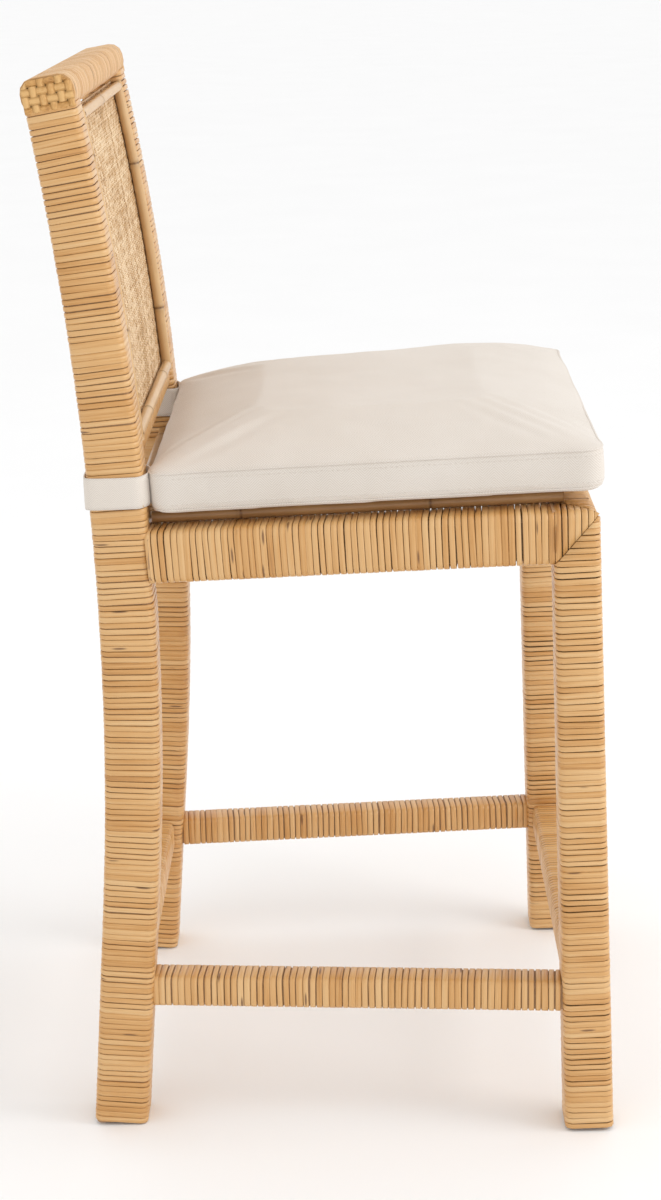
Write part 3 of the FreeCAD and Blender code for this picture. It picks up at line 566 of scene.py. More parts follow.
def link(name: str, data: bpy.types.ID) -> bpy.types.Object:
    """Put a mesh, curve, light or camera in the scene as an object of its own."""
    data.name = name
    piece = bpy.data.objects.new(name, data)
    bpy.context.scene.collection.objects.link(piece)
    return piece


def evaluated(piece: bpy.types.Object) -> bpy.types.Mesh:
    """A plain mesh of an object with its modifiers applied."""
    depsgraph = bpy.context.evaluated_depsgraph_get()
    return bpy.data.meshes.new_from_object(piece.evaluated_get(depsgraph), depsgraph=depsgraph,
                                           preserve_all_data_layers=True)


def lay_path(name: str, places: Sequence[Sequence[float]], radii: Sequence[float] = (),
             closed: bool = False) -> bpy.types.Object:
    """A path of straight lines for a Geometry Nodes tree to follow.

    Args:
        name: A name for what follows the path.
        places: The path's points.
        radii: The curve radius at each point, or nothing for a radius of 1.
        closed: Whether the last point is joined to the first.

    Returns:
        The path.
    """
    curve = bpy.data.curves.new(f"{name}_path", "CURVE")
    curve.dimensions = "3D"
    spline = curve.splines.new("POLY")
    spline.points.add(len(places) - 1)
    spline.points.foreach_set("co", [value for place in places for value in (*place, 1.0)])
    if radii:
        spline.points.foreach_set("radius", radii)
    spline.use_cyclic_u = closed
    return link(f"{name}_path", curve)


def ring_faces(rings: int, around: int, closed: bool) -> list[tuple[int, ...]]:
    """The faces between rings of points.

    Args:
        rings: How many rings there are.
        around: How many points each ring has.
        closed: Whether the last ring is joined to the first.

    Returns:
        Four point numbers for each face.
    """
    faces = []
    for here in range(rings if closed else rings - 1):
        ahead = (here + 1) % rings
        for k in range(around):
            m = (k + 1) % around
            faces.append((here * around + k, here * around + m, ahead * around + m,
                          ahead * around + k))
    return faces


def mesh_of(name: str, points: Sequence[Sequence[float]], faces: Sequence[Sequence[int]],
            edges: Sequence[Sequence[int]] = ()) -> bpy.types.Mesh:
    """A mesh from its points, edges and faces."""
    mesh = bpy.data.meshes.new(name)
    mesh.from_pydata([tuple(point) for point in points], list(edges), list(faces))
    mesh.update()
    return mesh


def face_outwards(mesh: bpy.types.Mesh) -> None:
    """Turn a closed mesh inside out if its volume comes out negative."""
    shape = bmesh.new()
    shape.from_mesh(mesh)
    if shape.calc_volume(signed=True) < 0:
        bmesh.ops.reverse_faces(shape, faces=shape.faces)
        shape.to_mesh(mesh)
    shape.free()


def store(mesh: bpy.types.Mesh, name: str, kind: str, values: np.ndarray) -> None:
    """Store an attribute of a mesh's points.

    Args:
        mesh: The mesh.
        name: The attribute's name.
        kind: FLOAT or FLOAT_VECTOR.
        values: One value, or one row, for each point.
    """
    layer = mesh.attributes.new(name, kind, "POINT")
    layer.data.foreach_set("vector" if kind == "FLOAT_VECTOR" else "value",
                           np.asarray(values, np.float32).ravel())


def grown(name: str, seed_mesh: bpy.types.Mesh, tree: bpy.types.NodeTree,
          values: dict[str, Any]) -> bpy.types.Mesh:
    """Run a Geometry Nodes tree on a mesh and return its result as a plain mesh.

    Args:
        name: A name for the result.
        seed_mesh: The mesh that the tree starts from.
        tree: The tree.
        values: The value of each of its inputs, by the input's name.

    Returns:
        The plain mesh.
    """
    holder = link(f"{name}_seed", seed_mesh)
    modifier = holder.modifiers.new("grow", "NODES")
    modifier.node_group = tree
    for item in tree.interface.items_tree:
        if item.item_type == "SOCKET" and item.in_out == "INPUT" and item.name in values:
            modifier[item.identifier] = values[item.name]
    mesh = evaluated(holder)
    holder.modifiers.remove(modifier)
    bpy.data.objects.remove(holder)
    mesh.name = name
    mesh.materials.clear()
    mesh.materials.append(values["Finish"])
    mesh.polygons.foreach_set("material_index", [0] * len(mesh.polygons))
    return mesh


@dataclass(frozen=True)
class Clip:
    """A plane that a wound or woven piece stops at."""

    point: Vector
    away: Vector

    def cut(self, mesh: bpy.types.Mesh) -> None:
        """Take off what lies beyond the plane and close the cut ends."""
        shape = bmesh.new()
        shape.from_mesh(mesh)
        everything = shape.verts[:] + shape.edges[:] + shape.faces[:]
        bmesh.ops.bisect_plane(shape, geom=everything, plane_co=self.point, dist=1e-7,
                               plane_no=self.away.normalized(), clear_outer=True)
        rim = [edge for edge in shape.edges if edge.is_boundary]
        bmesh.ops.holes_fill(shape, edges=rim, sides=0)
        shape.to_mesh(mesh)
        shape.free()


def interpolated(value: float, table: np.ndarray) -> np.ndarray:
    """A row of a table at a value of its first column, with straight lines beyond its ends."""
    keys = table[:, 0]
    row = int(np.clip(np.searchsorted(keys, value) - 1, 0, len(keys) - 2))
    share = (value - keys[row]) / (keys[row + 1] - keys[row])
    return table[row] + (table[row + 1] - table[row]) * share


def bell(gap: float, width: float) -> float:
    """A smooth bump that is 1 where the gap is 0 and dies away over a width."""
    return math.exp(-(gap / width) ** 2)


# ---------------------------------------------------------------- Geometry Nodes: wound peel

def make_winding_tree() -> bpy.types.NodeTree:
    """Closed turns of peel set side by side along a path.

    The tree starts from the cross-section of one strip, as a closed loop of edges with X outwards.
    The path's radius is the member's depth against Deep.
    """
    g, given, out = new_tree(
        "wound_peel", "GeometryNodeTree",
        [("Section", "Geometry", None), ("Path", "Object", None), ("Across", "Float", 0.045),
         ("Deep", "Float", 0.045), ("Corner", "Float", 0.007), ("Corner Steps", "Int", 2),
         ("Pitch", "Float", 0.0055), ("Lean", "Float", 0.02), ("Wobble", "Float", 0.01),
         ("Uneven", "Float", 0.004), ("Seed", "Int", 1), ("Side", "Vector", (1, 0, 0)),
         ("Finish", "Material", None)],
        [("Geometry", "Geometry")])
    take = given.outputs
    outline = g.add("GeometryNodeCurvePrimitiveQuadrilateral",
                    {"Width": take["Across"], "Height": take["Deep"]})
    outline = g.add("GeometryNodeFilletCurve",
                    {"Curve": outline, "Radius": take["Corner"], "Limit Radius": True},
                    mode="POLY")
    g.feed(outline.inputs["Count"], take["Corner Steps"])
    outline = g.add("GeometryNodeSetCurveNormal", {"Curve": outline}, mode="Z_UP")
    section = g.add("GeometryNodeMeshToCurve", {"Mesh": take["Section"]})
    turn = g.add("GeometryNodeCurveToMesh", {"Curve": outline, "Profile Curve": section})
    turn = g.add("GeometryNodeStoreNamedAttribute",
                 {"Geometry": turn, "Name": "peel", "Value": g.add("GeometryNodeInputPosition")},
                 data_type="FLOAT_VECTOR", domain="POINT")
    turn = g.add("GeometryNodeSetShadeSmooth", {"Geometry": turn})
    path = g.add("GeometryNodeObjectInfo", {"Object": take["Path"]})
    stations = g.add("GeometryNodeCurveToPoints", {"Curve": path.outputs["Geometry"]},
                     mode="LENGTH")
    g.feed(stations.inputs["Length"], take["Pitch"])
    here = g.add("GeometryNodeInputPosition")
    angles = []
    for offset in (0, 1):
        slow = g.add("ShaderNodeTexNoise", {"Vector": here, "Scale": 23.0 + 9.0 * offset,
                                            "Detail": 1.0}, noise_dimensions="4D")
        g.feed(slow.inputs["W"], g.math("ADD", take["Seed"], 0.37 + offset))
        swing = g.math("MULTIPLY", g.math("MULTIPLY_ADD", slow.outputs["Fac"], 4.0, -2.0),
                       take["Lean"])
        jolt = g.add("FunctionNodeRandomValue",
                     {"Min": -1.0, "Max": 1.0, "Seed": g.math("ADD", take["Seed"], offset)})
        angles.append(g.math("ADD", swing, g.math("MULTIPLY", jolt, take["Wobble"])))
    facing = g.add("FunctionNodeAxesToRotation",
                   {"Primary Axis": stations.outputs["Tangent"], "Secondary Axis": take["Side"]},
                   primary_axis="Z", secondary_axis="X")
    leaning = g.add("FunctionNodeEulerToRotation",
                    {"Euler": g.add("ShaderNodeCombineXYZ", {"X": angles[0], "Y": angles[1]})})
    rotation = g.add("FunctionNodeRotateRotation", {"Rotation": facing, "Rotate By": leaning},
                     rotation_space="LOCAL")
    stretch = []
    for offset in (0, 1):
        grain = g.add("FunctionNodeRandomValue",
                      {"Min": -1.0, "Max": 1.0, "Seed": g.math("ADD", take["Seed"], 7 + offset)})
        stretch.append(g.math("MULTIPLY_ADD", grain, take["Uneven"], 1.0))
    depth = g.math("MULTIPLY", stretch[1], g.add("GeometryNodeInputRadius"))
    wide = g.add("FunctionNodeRandomValue",
                 {"Min": 0.82, "Max": 1.09, "Seed": g.math("ADD", take["Seed"], 11)})
    size = g.add("ShaderNodeCombineXYZ", {"X": stretch[0], "Y": depth, "Z": wide})
    turns = g.add("GeometryNodeInstanceOnPoints",
                  {"Points": stations.outputs["Points"], "Instance": turn, "Rotation": rotation,
                   "Scale": size})
    pick = g.add("FunctionNodeRandomValue", {"Seed": g.math("ADD", take["Seed"], 17)})
    turns = g.add("GeometryNodeStoreNamedAttribute",
                  {"Geometry": turns, "Name": "pick", "Value": pick},
                  data_type="FLOAT", domain="INSTANCE")
    return g.hand_on(out, turns, take["Finish"])


def peel_section(pitch: float, peel: float) -> bpy.types.Mesh:
    """The cross-section of a strip of peel, domed on its outer side.

    Args:
        pitch: The distance between one strip and the next.
        peel: The thickness of the peel.

    Returns:
        A closed loop of edges in the XY plane, with X outwards from the outline that it follows.
    """
    half, proud, sunk = pitch * 0.985 / 2, peel * 0.92, peel * 0.15
    points = [(-sunk, -half), (proud * 0.60, -half * 0.98), (proud * 0.94, -half * 0.84),
              (proud, 0.0), (proud * 0.94, half * 0.84), (proud * 0.60, half * 0.98),
              (-sunk, half)]
    edges = [(i, (i + 1) % len(points)) for i in range(len(points))]
    return mesh_of("peel_section", [(x, y, 0.0) for x, y in points], [], edges)


def wind(name: str, tree: bpy.types.NodeTree, path: bpy.types.Object, size: tuple[float, float],
         pitch: float, peel: float, corner: float, **values: Any) -> bpy.types.Mesh:
    """Wind strips of peel side by side along a path.

    Args:
        name: A name for the winding.
        tree: The winding tree.
        path: The middle of the member, which is removed afterwards.
        size: The member's outer width and depth.
        pitch: The distance between one strip and the next.
        peel: The thickness of the peel.
        corner: The radius of the member's edges.
        **values: The tree's other inputs, with underscores for spaces in their names.

    Returns:
        The winding.
    """
    given = {"Path": path, "Across": size[0] - 2 * peel, "Deep": size[1] - 2 * peel,
             "Corner": corner - peel, "Pitch": pitch}
    given |= {key.replace("_", " "): value for key, value in values.items()}
    mesh = grown(name, peel_section(pitch, peel), tree, given)
    bpy.data.objects.remove(path)
    return mesh


@dataclass
class WoundMember:
    """One member of the frame wound with rattan peel."""

    name: str
    node: str
    axis: Axis
    levels: Sequence[float]
    start: float
    end: float
    side: Vector
    corner: float
    pitch: float = 5.5 * MM
    bends: Sequence[tuple[float, Vector]] = ()
    clips: Sequence[Clip] = ()
    seed: int = 1
    lean: float = 0.024
    peel: float = 2.0 * MM
    uneven: float = 0.006

    def measured(self) -> np.ndarray:
        """Centre and depth of the member along its run, as a table."""
        rows = []
        for level in self.levels:
            low, high = slice_box(self.node, self.axis, level)
            centre = (low + high) / 2
            rows.append((level, *centre, *(high - low)))
        return np.array(rows)

    def build(self, tree: bpy.types.NodeTree, finish: bpy.types.Material) -> bpy.types.Object:
        """Wind the member.

        Args:
            tree: The winding tree.
            finish: The peel's material.

        Returns:
            The finished piece.
        """
        table = self.measured()
        side_axis = max(range(3), key=lambda i: abs(self.side[i]))
        deep_axis = 3 - side_axis - self.axis.value
        across, deep = float(table[:, 4 + side_axis].mean()), float(table[0, 4 + deep_axis])
        count = 3 * len(self.levels)
        places, radii = [], []
        for i in range(count + 1):
            spot = self.start + (self.end - self.start) * i / count
            row = interpolated(spot, table)
            place = Vector(row[1:4])
            for edge, shift in self.bends:
                if (spot - edge) * (self.end - self.start) < 0:
                    place = Vector(interpolated(edge, table)[1:4]) + shift
            place[self.axis.value] = spot
            places.append(place)
            radii.append(row[4 + deep_axis] / deep)
        mesh = wind(self.name, tree, lay_path(self.name, places, radii), (across, deep),
                    self.pitch, self.peel, self.corner, Uneven=self.uneven, Corner_Steps=2,
                    Lean=self.lean, Wobble=self.lean * 0.4, Seed=self.seed,
                    Side=tuple(self.side), Finish=finish)
        for clip in self.clips:
            clip.cut(mesh)
        face_outwards(mesh)
        LOG.info("%s wound with %d faces", self.name, len(mesh.polygons))
        return link(self.name, mesh)


@dataclass
class WoundFrame:
    """The legs, posts, aprons, stretchers and rails under their winding."""

    finishes: Finishes
    leg_corner: float = 7.0 * MM
    apron_corner: float = 8.0 * MM
    stretcher_corner: float = 6.0 * MM
    mitre_gap: float = 0.25 * MM
    members: list[WoundMember] = field(default_factory=list)

    def corner_cube(self, sign: float) -> tuple[Vector, Vector]:
        """The block where a front leg and two aprons meet.

        Args:
            sign: 1 for the left leg, -1 for the right one.

        Returns:
            Its inner, rear, lower corner and its outer, front, upper corner, with x made positive.
        """
        word = "left" if sign > 0 else "right"
        low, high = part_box(f"{word}_front_leg_wrap")
        apron_low, apron_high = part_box("front_apron_wrap")
        front, rear = slice_box(f"{word}_front_leg_wrap", Axis.Z, apron_low.z - 4 * MM)
        inner, outer = sorted((abs(low.x), abs(high.x)))
        return (Vector((inner, rear.y, apron_low.z)),
                Vector((outer, front.y, max(apron_high.z, high.z))))

    def mitre(self, sign: float, owner: Axis, other: Axis) -> Clip:
        """The plane between two members at a front corner.

        Args:
            sign: 1 for the left corner, -1 for the right one.
            owner: The direction of the member to be cut.
            other: The direction of the member that it meets.

        Returns:
            The plane, with what is beyond it belonging to the other member.
        """
        inner, outer = self.corner_cube(sign)
        span = outer - inner
        away = Vector((0.0, 0.0, 0.0))
        away[owner.value] = 1.0 / span[owner.value]
        away[other.value] = -1.0 / span[other.value]
        point = Vector((sign * inner.x, inner.y, inner.z))
        away.x *= sign
        point -= away.normalized() * self.mitre_gap
        return Clip(point, away)

    def plan(self) -> None:
        """List every member with its place, taken from the CAD nodes."""
        apron_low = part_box("front_apron_wrap")[0]
        seed = 3
        for word, sign in SIDES.items():
            inner, outer = self.corner_cube(sign)
            leg = f"{word}_front_leg_wrap"
            low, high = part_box(leg)
            self.members.append(WoundMember(
                f"{word}_front_leg_winding", leg, Axis.Z,
                [low.z + 5 * MM, apron_low.z - 4 * MM], low.z + 3 * MM, high.z - 2 * MM, ACROSS,
                self.leg_corner, 5.4 * MM,
                clips=(self.mitre(sign, Axis.Z, Axis.Y), self.mitre(sign, Axis.Z, Axis.X)),
                seed=seed))
            post = f"{word}_rear_post_wrap"
            low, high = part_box(post)
            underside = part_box("top_rail_wrap")[0].z + 3 * MM
            levels = list(np.linspace(low.z + 5 * MM, underside - 9 * MM, 36))
            self.members.append(WoundMember(
                f"{word}_rear_post_winding", post, Axis.Z, levels, low.z + 3 * MM,
                underside + 3 * MM, ACROSS, self.leg_corner, 5.3 * MM, seed=seed + 1))
            rail = f"{word}_apron_wrap"
            low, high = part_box(rail)
            post_face = slice_box(post, Axis.Z, apron_low.z + 20 * MM)[0].y
            levels = [inner.y + 35 * MM, post_face - 35 * MM]
            first, last = (slice_box(rail, Axis.Y, level) for level in levels)
            reaches = [max(abs(a.x), abs(b.x)) for a, b in (first, last)]
            slant = (reaches[0] - reaches[1]) / (levels[1] - levels[0])
            flush = outer.x - (reaches[0] + slant * (levels[0] - inner.y))
            rails = WoundMember(
                f"{word}_apron_winding", rail, Axis.Y, levels, outer.y + 3 * MM,
                post_face - 3 * MM, ACROSS, self.apron_corner, 5.6 * MM,
                bends=((inner.y, Vector((sign * flush, 0, 0))),), seed=seed + 2,
                clips=(self.mitre(sign, Axis.Y, Axis.Z), self.mitre(sign, Axis.Y, Axis.X)))
            self.members.append(rails)
            tread = f"{word}_stretcher_wrap"
            low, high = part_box(tread)
            middle = (low.z + high.z) / 2
            leg_rear = slice_box(leg, Axis.Z, middle)[1].y
            post_front = slice_box(post, Axis.Z, middle)[0].y
            self.members.append(WoundMember(
                f"{word}_stretcher_winding", tread, Axis.Y,
                [leg_rear + 40 * MM, post_front - 40 * MM], leg_rear + 2.6 * MM,
                post_front - 2.6 * MM, ACROSS, self.stretcher_corner, 6.0 * MM, seed=seed + 3,
                lean=0.03))
            seed += 10
        left, right = self.mitre(1.0, Axis.X, Axis.Y), self.mitre(-1.0, Axis.X, Axis.Y)
        low, high = self.mitre(1.0, Axis.X, Axis.Z), self.mitre(-1.0, Axis.X, Axis.Z)
        reach = self.corner_cube(1.0)[1].x - 3 * MM
        self.members.append(WoundMember(
            "front_apron_winding", "front_apron_wrap", Axis.X, [-60 * MM, 60 * MM], -reach, reach,
            Vector((0, 1, 0)), self.apron_corner, 5.6 * MM, clips=(left, right, low, high),
            seed=31))
        for name, pitch, corner in (("rear_apron", 5.6, self.apron_corner),
                                    ("front_footrest", 6.0, self.stretcher_corner),
                                    ("rear_stretcher", 6.0, self.stretcher_corner),
                                    ("lower_back_rail", 5.4, 5.0 * MM)):
            low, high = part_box(f"{name}_wrap")
            self.members.append(WoundMember(
                f"{name}_winding", f"{name}_wrap", Axis.X, [-60 * MM, 60 * MM], low.x + 2.8 * MM,
                high.x - 2.8 * MM, Vector((0, 1, 0)), corner, pitch * MM,
                seed=40 + len(self.members)))

    def build(self) -> None:
        """Wind every member and let it stand for its CAD node."""
        self.plan()
        tree = make_winding_tree()
        for member in self.members:
            piece = member.build(tree, self.finishes.peel)
            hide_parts(member.node)
            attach(piece, "frame")
        cores = [f"{word}_{part}" for word in SIDES for part in ("front_leg", "apron")]
        for node in (*cores, "front_apron", "top_rail"):
            SunkenCore(node, self.finishes).build()
        TopRail(self.finishes).build(tree)


@dataclass
class SunkenCore:
    """A core drawn a little smaller, so that its square corners stay under the rounded winding."""

    node: str
    finishes: Finishes
    depth: float = 4.0 * MM

    def build(self) -> bpy.types.Object:
        """Copy the CAD core, draw its faces inwards and let the copy stand for it.

        Returns:
            The smaller core.
        """
        corners = triangles(self.node).reshape(-1, 3)
        mesh = mesh_of(f"{self.node}_core", corners, np.arange(len(corners)).reshape(-1, 3))
        shape = bmesh.new()
        shape.from_mesh(mesh)
        bmesh.ops.remove_doubles(shape, verts=shape.verts[:], dist=1e-6)
        shape.normal_update()
        inwards = [vertex.normal.copy() for vertex in shape.verts]
        for vertex, normal in zip(shape.verts, inwards):
            vertex.co -= normal * self.depth
        shape.to_mesh(mesh)
        shape.free()
        mesh.materials.append(self.finishes.wood)
        piece = link(f"{self.node}_core", mesh)
        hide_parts(self.node)
        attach(piece, "frame")
        LOG.info("%s drawn in under its winding", self.node)
        return piece


@dataclass
class TopRail:
    """The raked top rail and its winding, measured also for the plaited caps on its ends."""

    finishes: Finishes
    corner: float = 12.0 * MM
    pitch: float = 6.0 * MM
    peel: float = 2.0 * MM

    def measured(self) -> tuple[Vector, Vector, float, float]:
        """The rail's centre in its section, its depth direction, its depth and its height."""
        points = slice_points("top_rail_wrap", Axis.X, 0.012)[:, 1:]
        front_low = points[np.argmin(points[:, 1] + 0.6 * points[:, 0])]
        rear_low = points[np.argmin(points[:, 1] - 0.6 * points[:, 0])]
        run = rear_low - front_low
        run /= np.linalg.norm(run)
        rise = np.array([-run[1], run[0]])
        along, up = points @ run, points @ rise
        centre = run * (along.min() + along.max()) / 2 + rise * (up.min() + up.max()) / 2
        return (Vector((0, *centre)), Vector((0, *run)), float(np.ptp(along)), float(np.ptp(up)))

    def build(self, tree: bpy.types.NodeTree) -> None:
        """Wind the rail.

        Args:
            tree: The winding tree.
        """
        centre, run, deep, high = self.measured()
        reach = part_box("top_rail_wrap")[1].x - self.pitch / 2
        path = lay_path("top_rail", [(x, centre.y, centre.z) for x in (-reach, reach)])
        mesh = wind("top_rail_winding", tree, path, (deep, high), self.pitch, self.peel,
                    self.corner, Corner_Steps=3, Lean=0.02, Wobble=0.01, Seed=90,
                    Side=tuple(run), Finish=self.finishes.peel)
        face_outwards(mesh)
        piece = link("top_rail_winding", mesh)
        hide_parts("top_rail_wrap")
        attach(piece, "frame")


# ---------------------------------------------------------------- Geometry Nodes: woven strands

def make_weaving_tree() -> bpy.types.NodeTree:
    """Two sets of strands that pass over and under each other, flat in the XY plane.

    The tree starts from the cross-section of one strand, as a closed loop of edges.
    """
    g, given, out = new_tree(
        "woven_strands", "GeometryNodeTree",
        [("Section", "Geometry", None), ("Width", "Float", 0.3), ("Height", "Float", 0.3),
         ("Columns", "Int", 10), ("Rows", "Int", 10), ("Over", "Int", 2),
         ("Dip", "Float", 0.0005), ("Stray", "Float", 0.0002), ("Seed", "Int", 1),
         ("Finish", "Material", None)],
        [("Geometry", "Geometry")])
    take = given.outputs
    section = g.add("GeometryNodeMeshToCurve", {"Mesh": take["Section"]})
    sets = g.add("GeometryNodeJoinGeometry")
    index = g.add("GeometryNodeInputIndex")
    runs = (("Columns", "Width", "Rows", "Height", "X", "Y", 1.0),
            ("Rows", "Height", "Columns", "Width", "Y", "X", -1.0))
    for number, (many, spread, points, length, aside, along, side) in enumerate(runs):
        strand = g.add("GeometryNodeMeshLine", mode="END_POINTS", count_mode="TOTAL")
        row = g.add("GeometryNodeMeshLine", mode="END_POINTS", count_mode="TOTAL")
        for line, count, size, axis in ((strand, points, length, along), (row, many, spread, aside)):
            half = g.math("MULTIPLY", take[size], 0.5)
            minus = g.math("MULTIPLY", take[size], -0.5)
            g.feed(line.inputs["Count"], take[count])
            g.feed(line.inputs["Start Location"], g.add("ShaderNodeCombineXYZ", {axis: minus}))
            g.feed(line.inputs["Offset"], g.add("ShaderNodeCombineXYZ", {axis: half}))
        path = g.add("GeometryNodeMeshToCurve", {"Mesh": strand})
        laid = g.add("GeometryNodeInstanceOnPoints", {"Points": row, "Instance": path})
        pick = g.add("FunctionNodeRandomValue", {"Seed": g.math("ADD", take["Seed"], number)})
        laid = g.add("GeometryNodeStoreNamedAttribute",
                     {"Geometry": laid, "Name": "pick", "Value": pick},
                     data_type="FLOAT", domain="INSTANCE")
        laid = g.add("GeometryNodeRealizeInstances", {"Geometry": laid})
        strand_number = g.math("FLOOR", g.math("DIVIDE", g.math("ADD", index, 0.5), take[points]))
        place = g.math("SUBTRACT", index, g.math("MULTIPLY", strand_number, take[points]))
        period = g.math("MULTIPLY", take["Over"], 2)
        phase = g.math("FLOORED_MODULO", g.math("ADD", strand_number, place), period)
        over = g.math("LESS_THAN", phase, take["Over"])
        height = g.math("MULTIPLY", g.math("MULTIPLY_ADD", over, 2.0, -1.0),
                        g.math("MULTIPLY", take["Dip"], side))
        stray = g.noise(g.add("GeometryNodeInputPosition"), 60.0, 1.0)
        drift = g.math("MULTIPLY", g.math("MULTIPLY_ADD", stray, 4.0, -2.0), take["Stray"])
        offset = g.add("ShaderNodeCombineXYZ", {aside: drift, "Z": height})
        laid = g.add("GeometryNodeSetPosition", {"Geometry": laid, "Offset": offset})
        laid = g.add("GeometryNodeSetCurveNormal", {"Curve": laid}, mode="Z_UP")
        solid = g.add("GeometryNodeCurveToMesh", {"Curve": laid, "Profile Curve": section,
                                                  "Fill Caps": True})
        split = g.add("ShaderNodeSeparateXYZ", {"Vector": g.add("GeometryNodeInputPosition")})
        grain = g.add("ShaderNodeCombineXYZ", {"X": split.outputs[along],
                                               "Z": split.outputs[aside]})
        solid = g.add("GeometryNodeStoreNamedAttribute",
                      {"Geometry": solid, "Name": "peel", "Value": grain},
                      data_type="FLOAT_VECTOR", domain="POINT")
        g.tree.links.new(solid.outputs[0], sets.inputs[0])
    smooth = g.add("GeometryNodeSetShadeSmooth", {"Geometry": sets})
    return g.hand_on(out, smooth, take["Finish"])


@dataclass
class WovenSheet:
    """A flat piece of weave, ready to be bent to its place."""

    name: str
    width: float
    height: float
    pitch: float
    strand: float
    thick: float
    weave: Weave
    seed: int = 1

    def build(self, tree: bpy.types.NodeTree, finish: bpy.types.Material) -> bpy.types.Mesh:
        """Weave it.

        Args:
            tree: The weaving tree.
            finish: The strands' material.

        Returns:
            The weave in the XY plane, centred on the origin.
        """
        half, deep = self.strand / 2, self.thick / 2
        loop = [(-half, 0), (0, -deep), (half, 0), (0, deep)]
        section = mesh_of("strand_section", [(x, y, 0) for x, y in loop], [],
                          [(0, 1), (1, 2), (2, 3), (3, 0)])
        width, height = self.width - self.strand, self.height - self.strand
        mesh = grown(self.name, section, tree,
                     {"Width": width, "Height": height,
                      "Columns": round(width / self.pitch) + 1,
                      "Rows": round(height / self.pitch) + 1, "Over": self.weave.value,
                      "Dip": self.thick * 0.42, "Stray": self.pitch * 0.05, "Seed": self.seed,
                      "Finish": finish})
        face_outwards(mesh)
        return mesh


def points_of(mesh: bpy.types.Mesh) -> np.ndarray:
    """The points of a mesh, one in each row."""
    points = np.empty(len(mesh.vertices) * 3)
    mesh.vertices.foreach_get("co", points)
    return points.reshape(-1, 3)


def set_points(mesh: bpy.types.Mesh, points: np.ndarray) -> None:
    """Move the points of a mesh to new places, one in each row."""
    mesh.vertices.foreach_set("co", points.ravel())
    mesh.update()


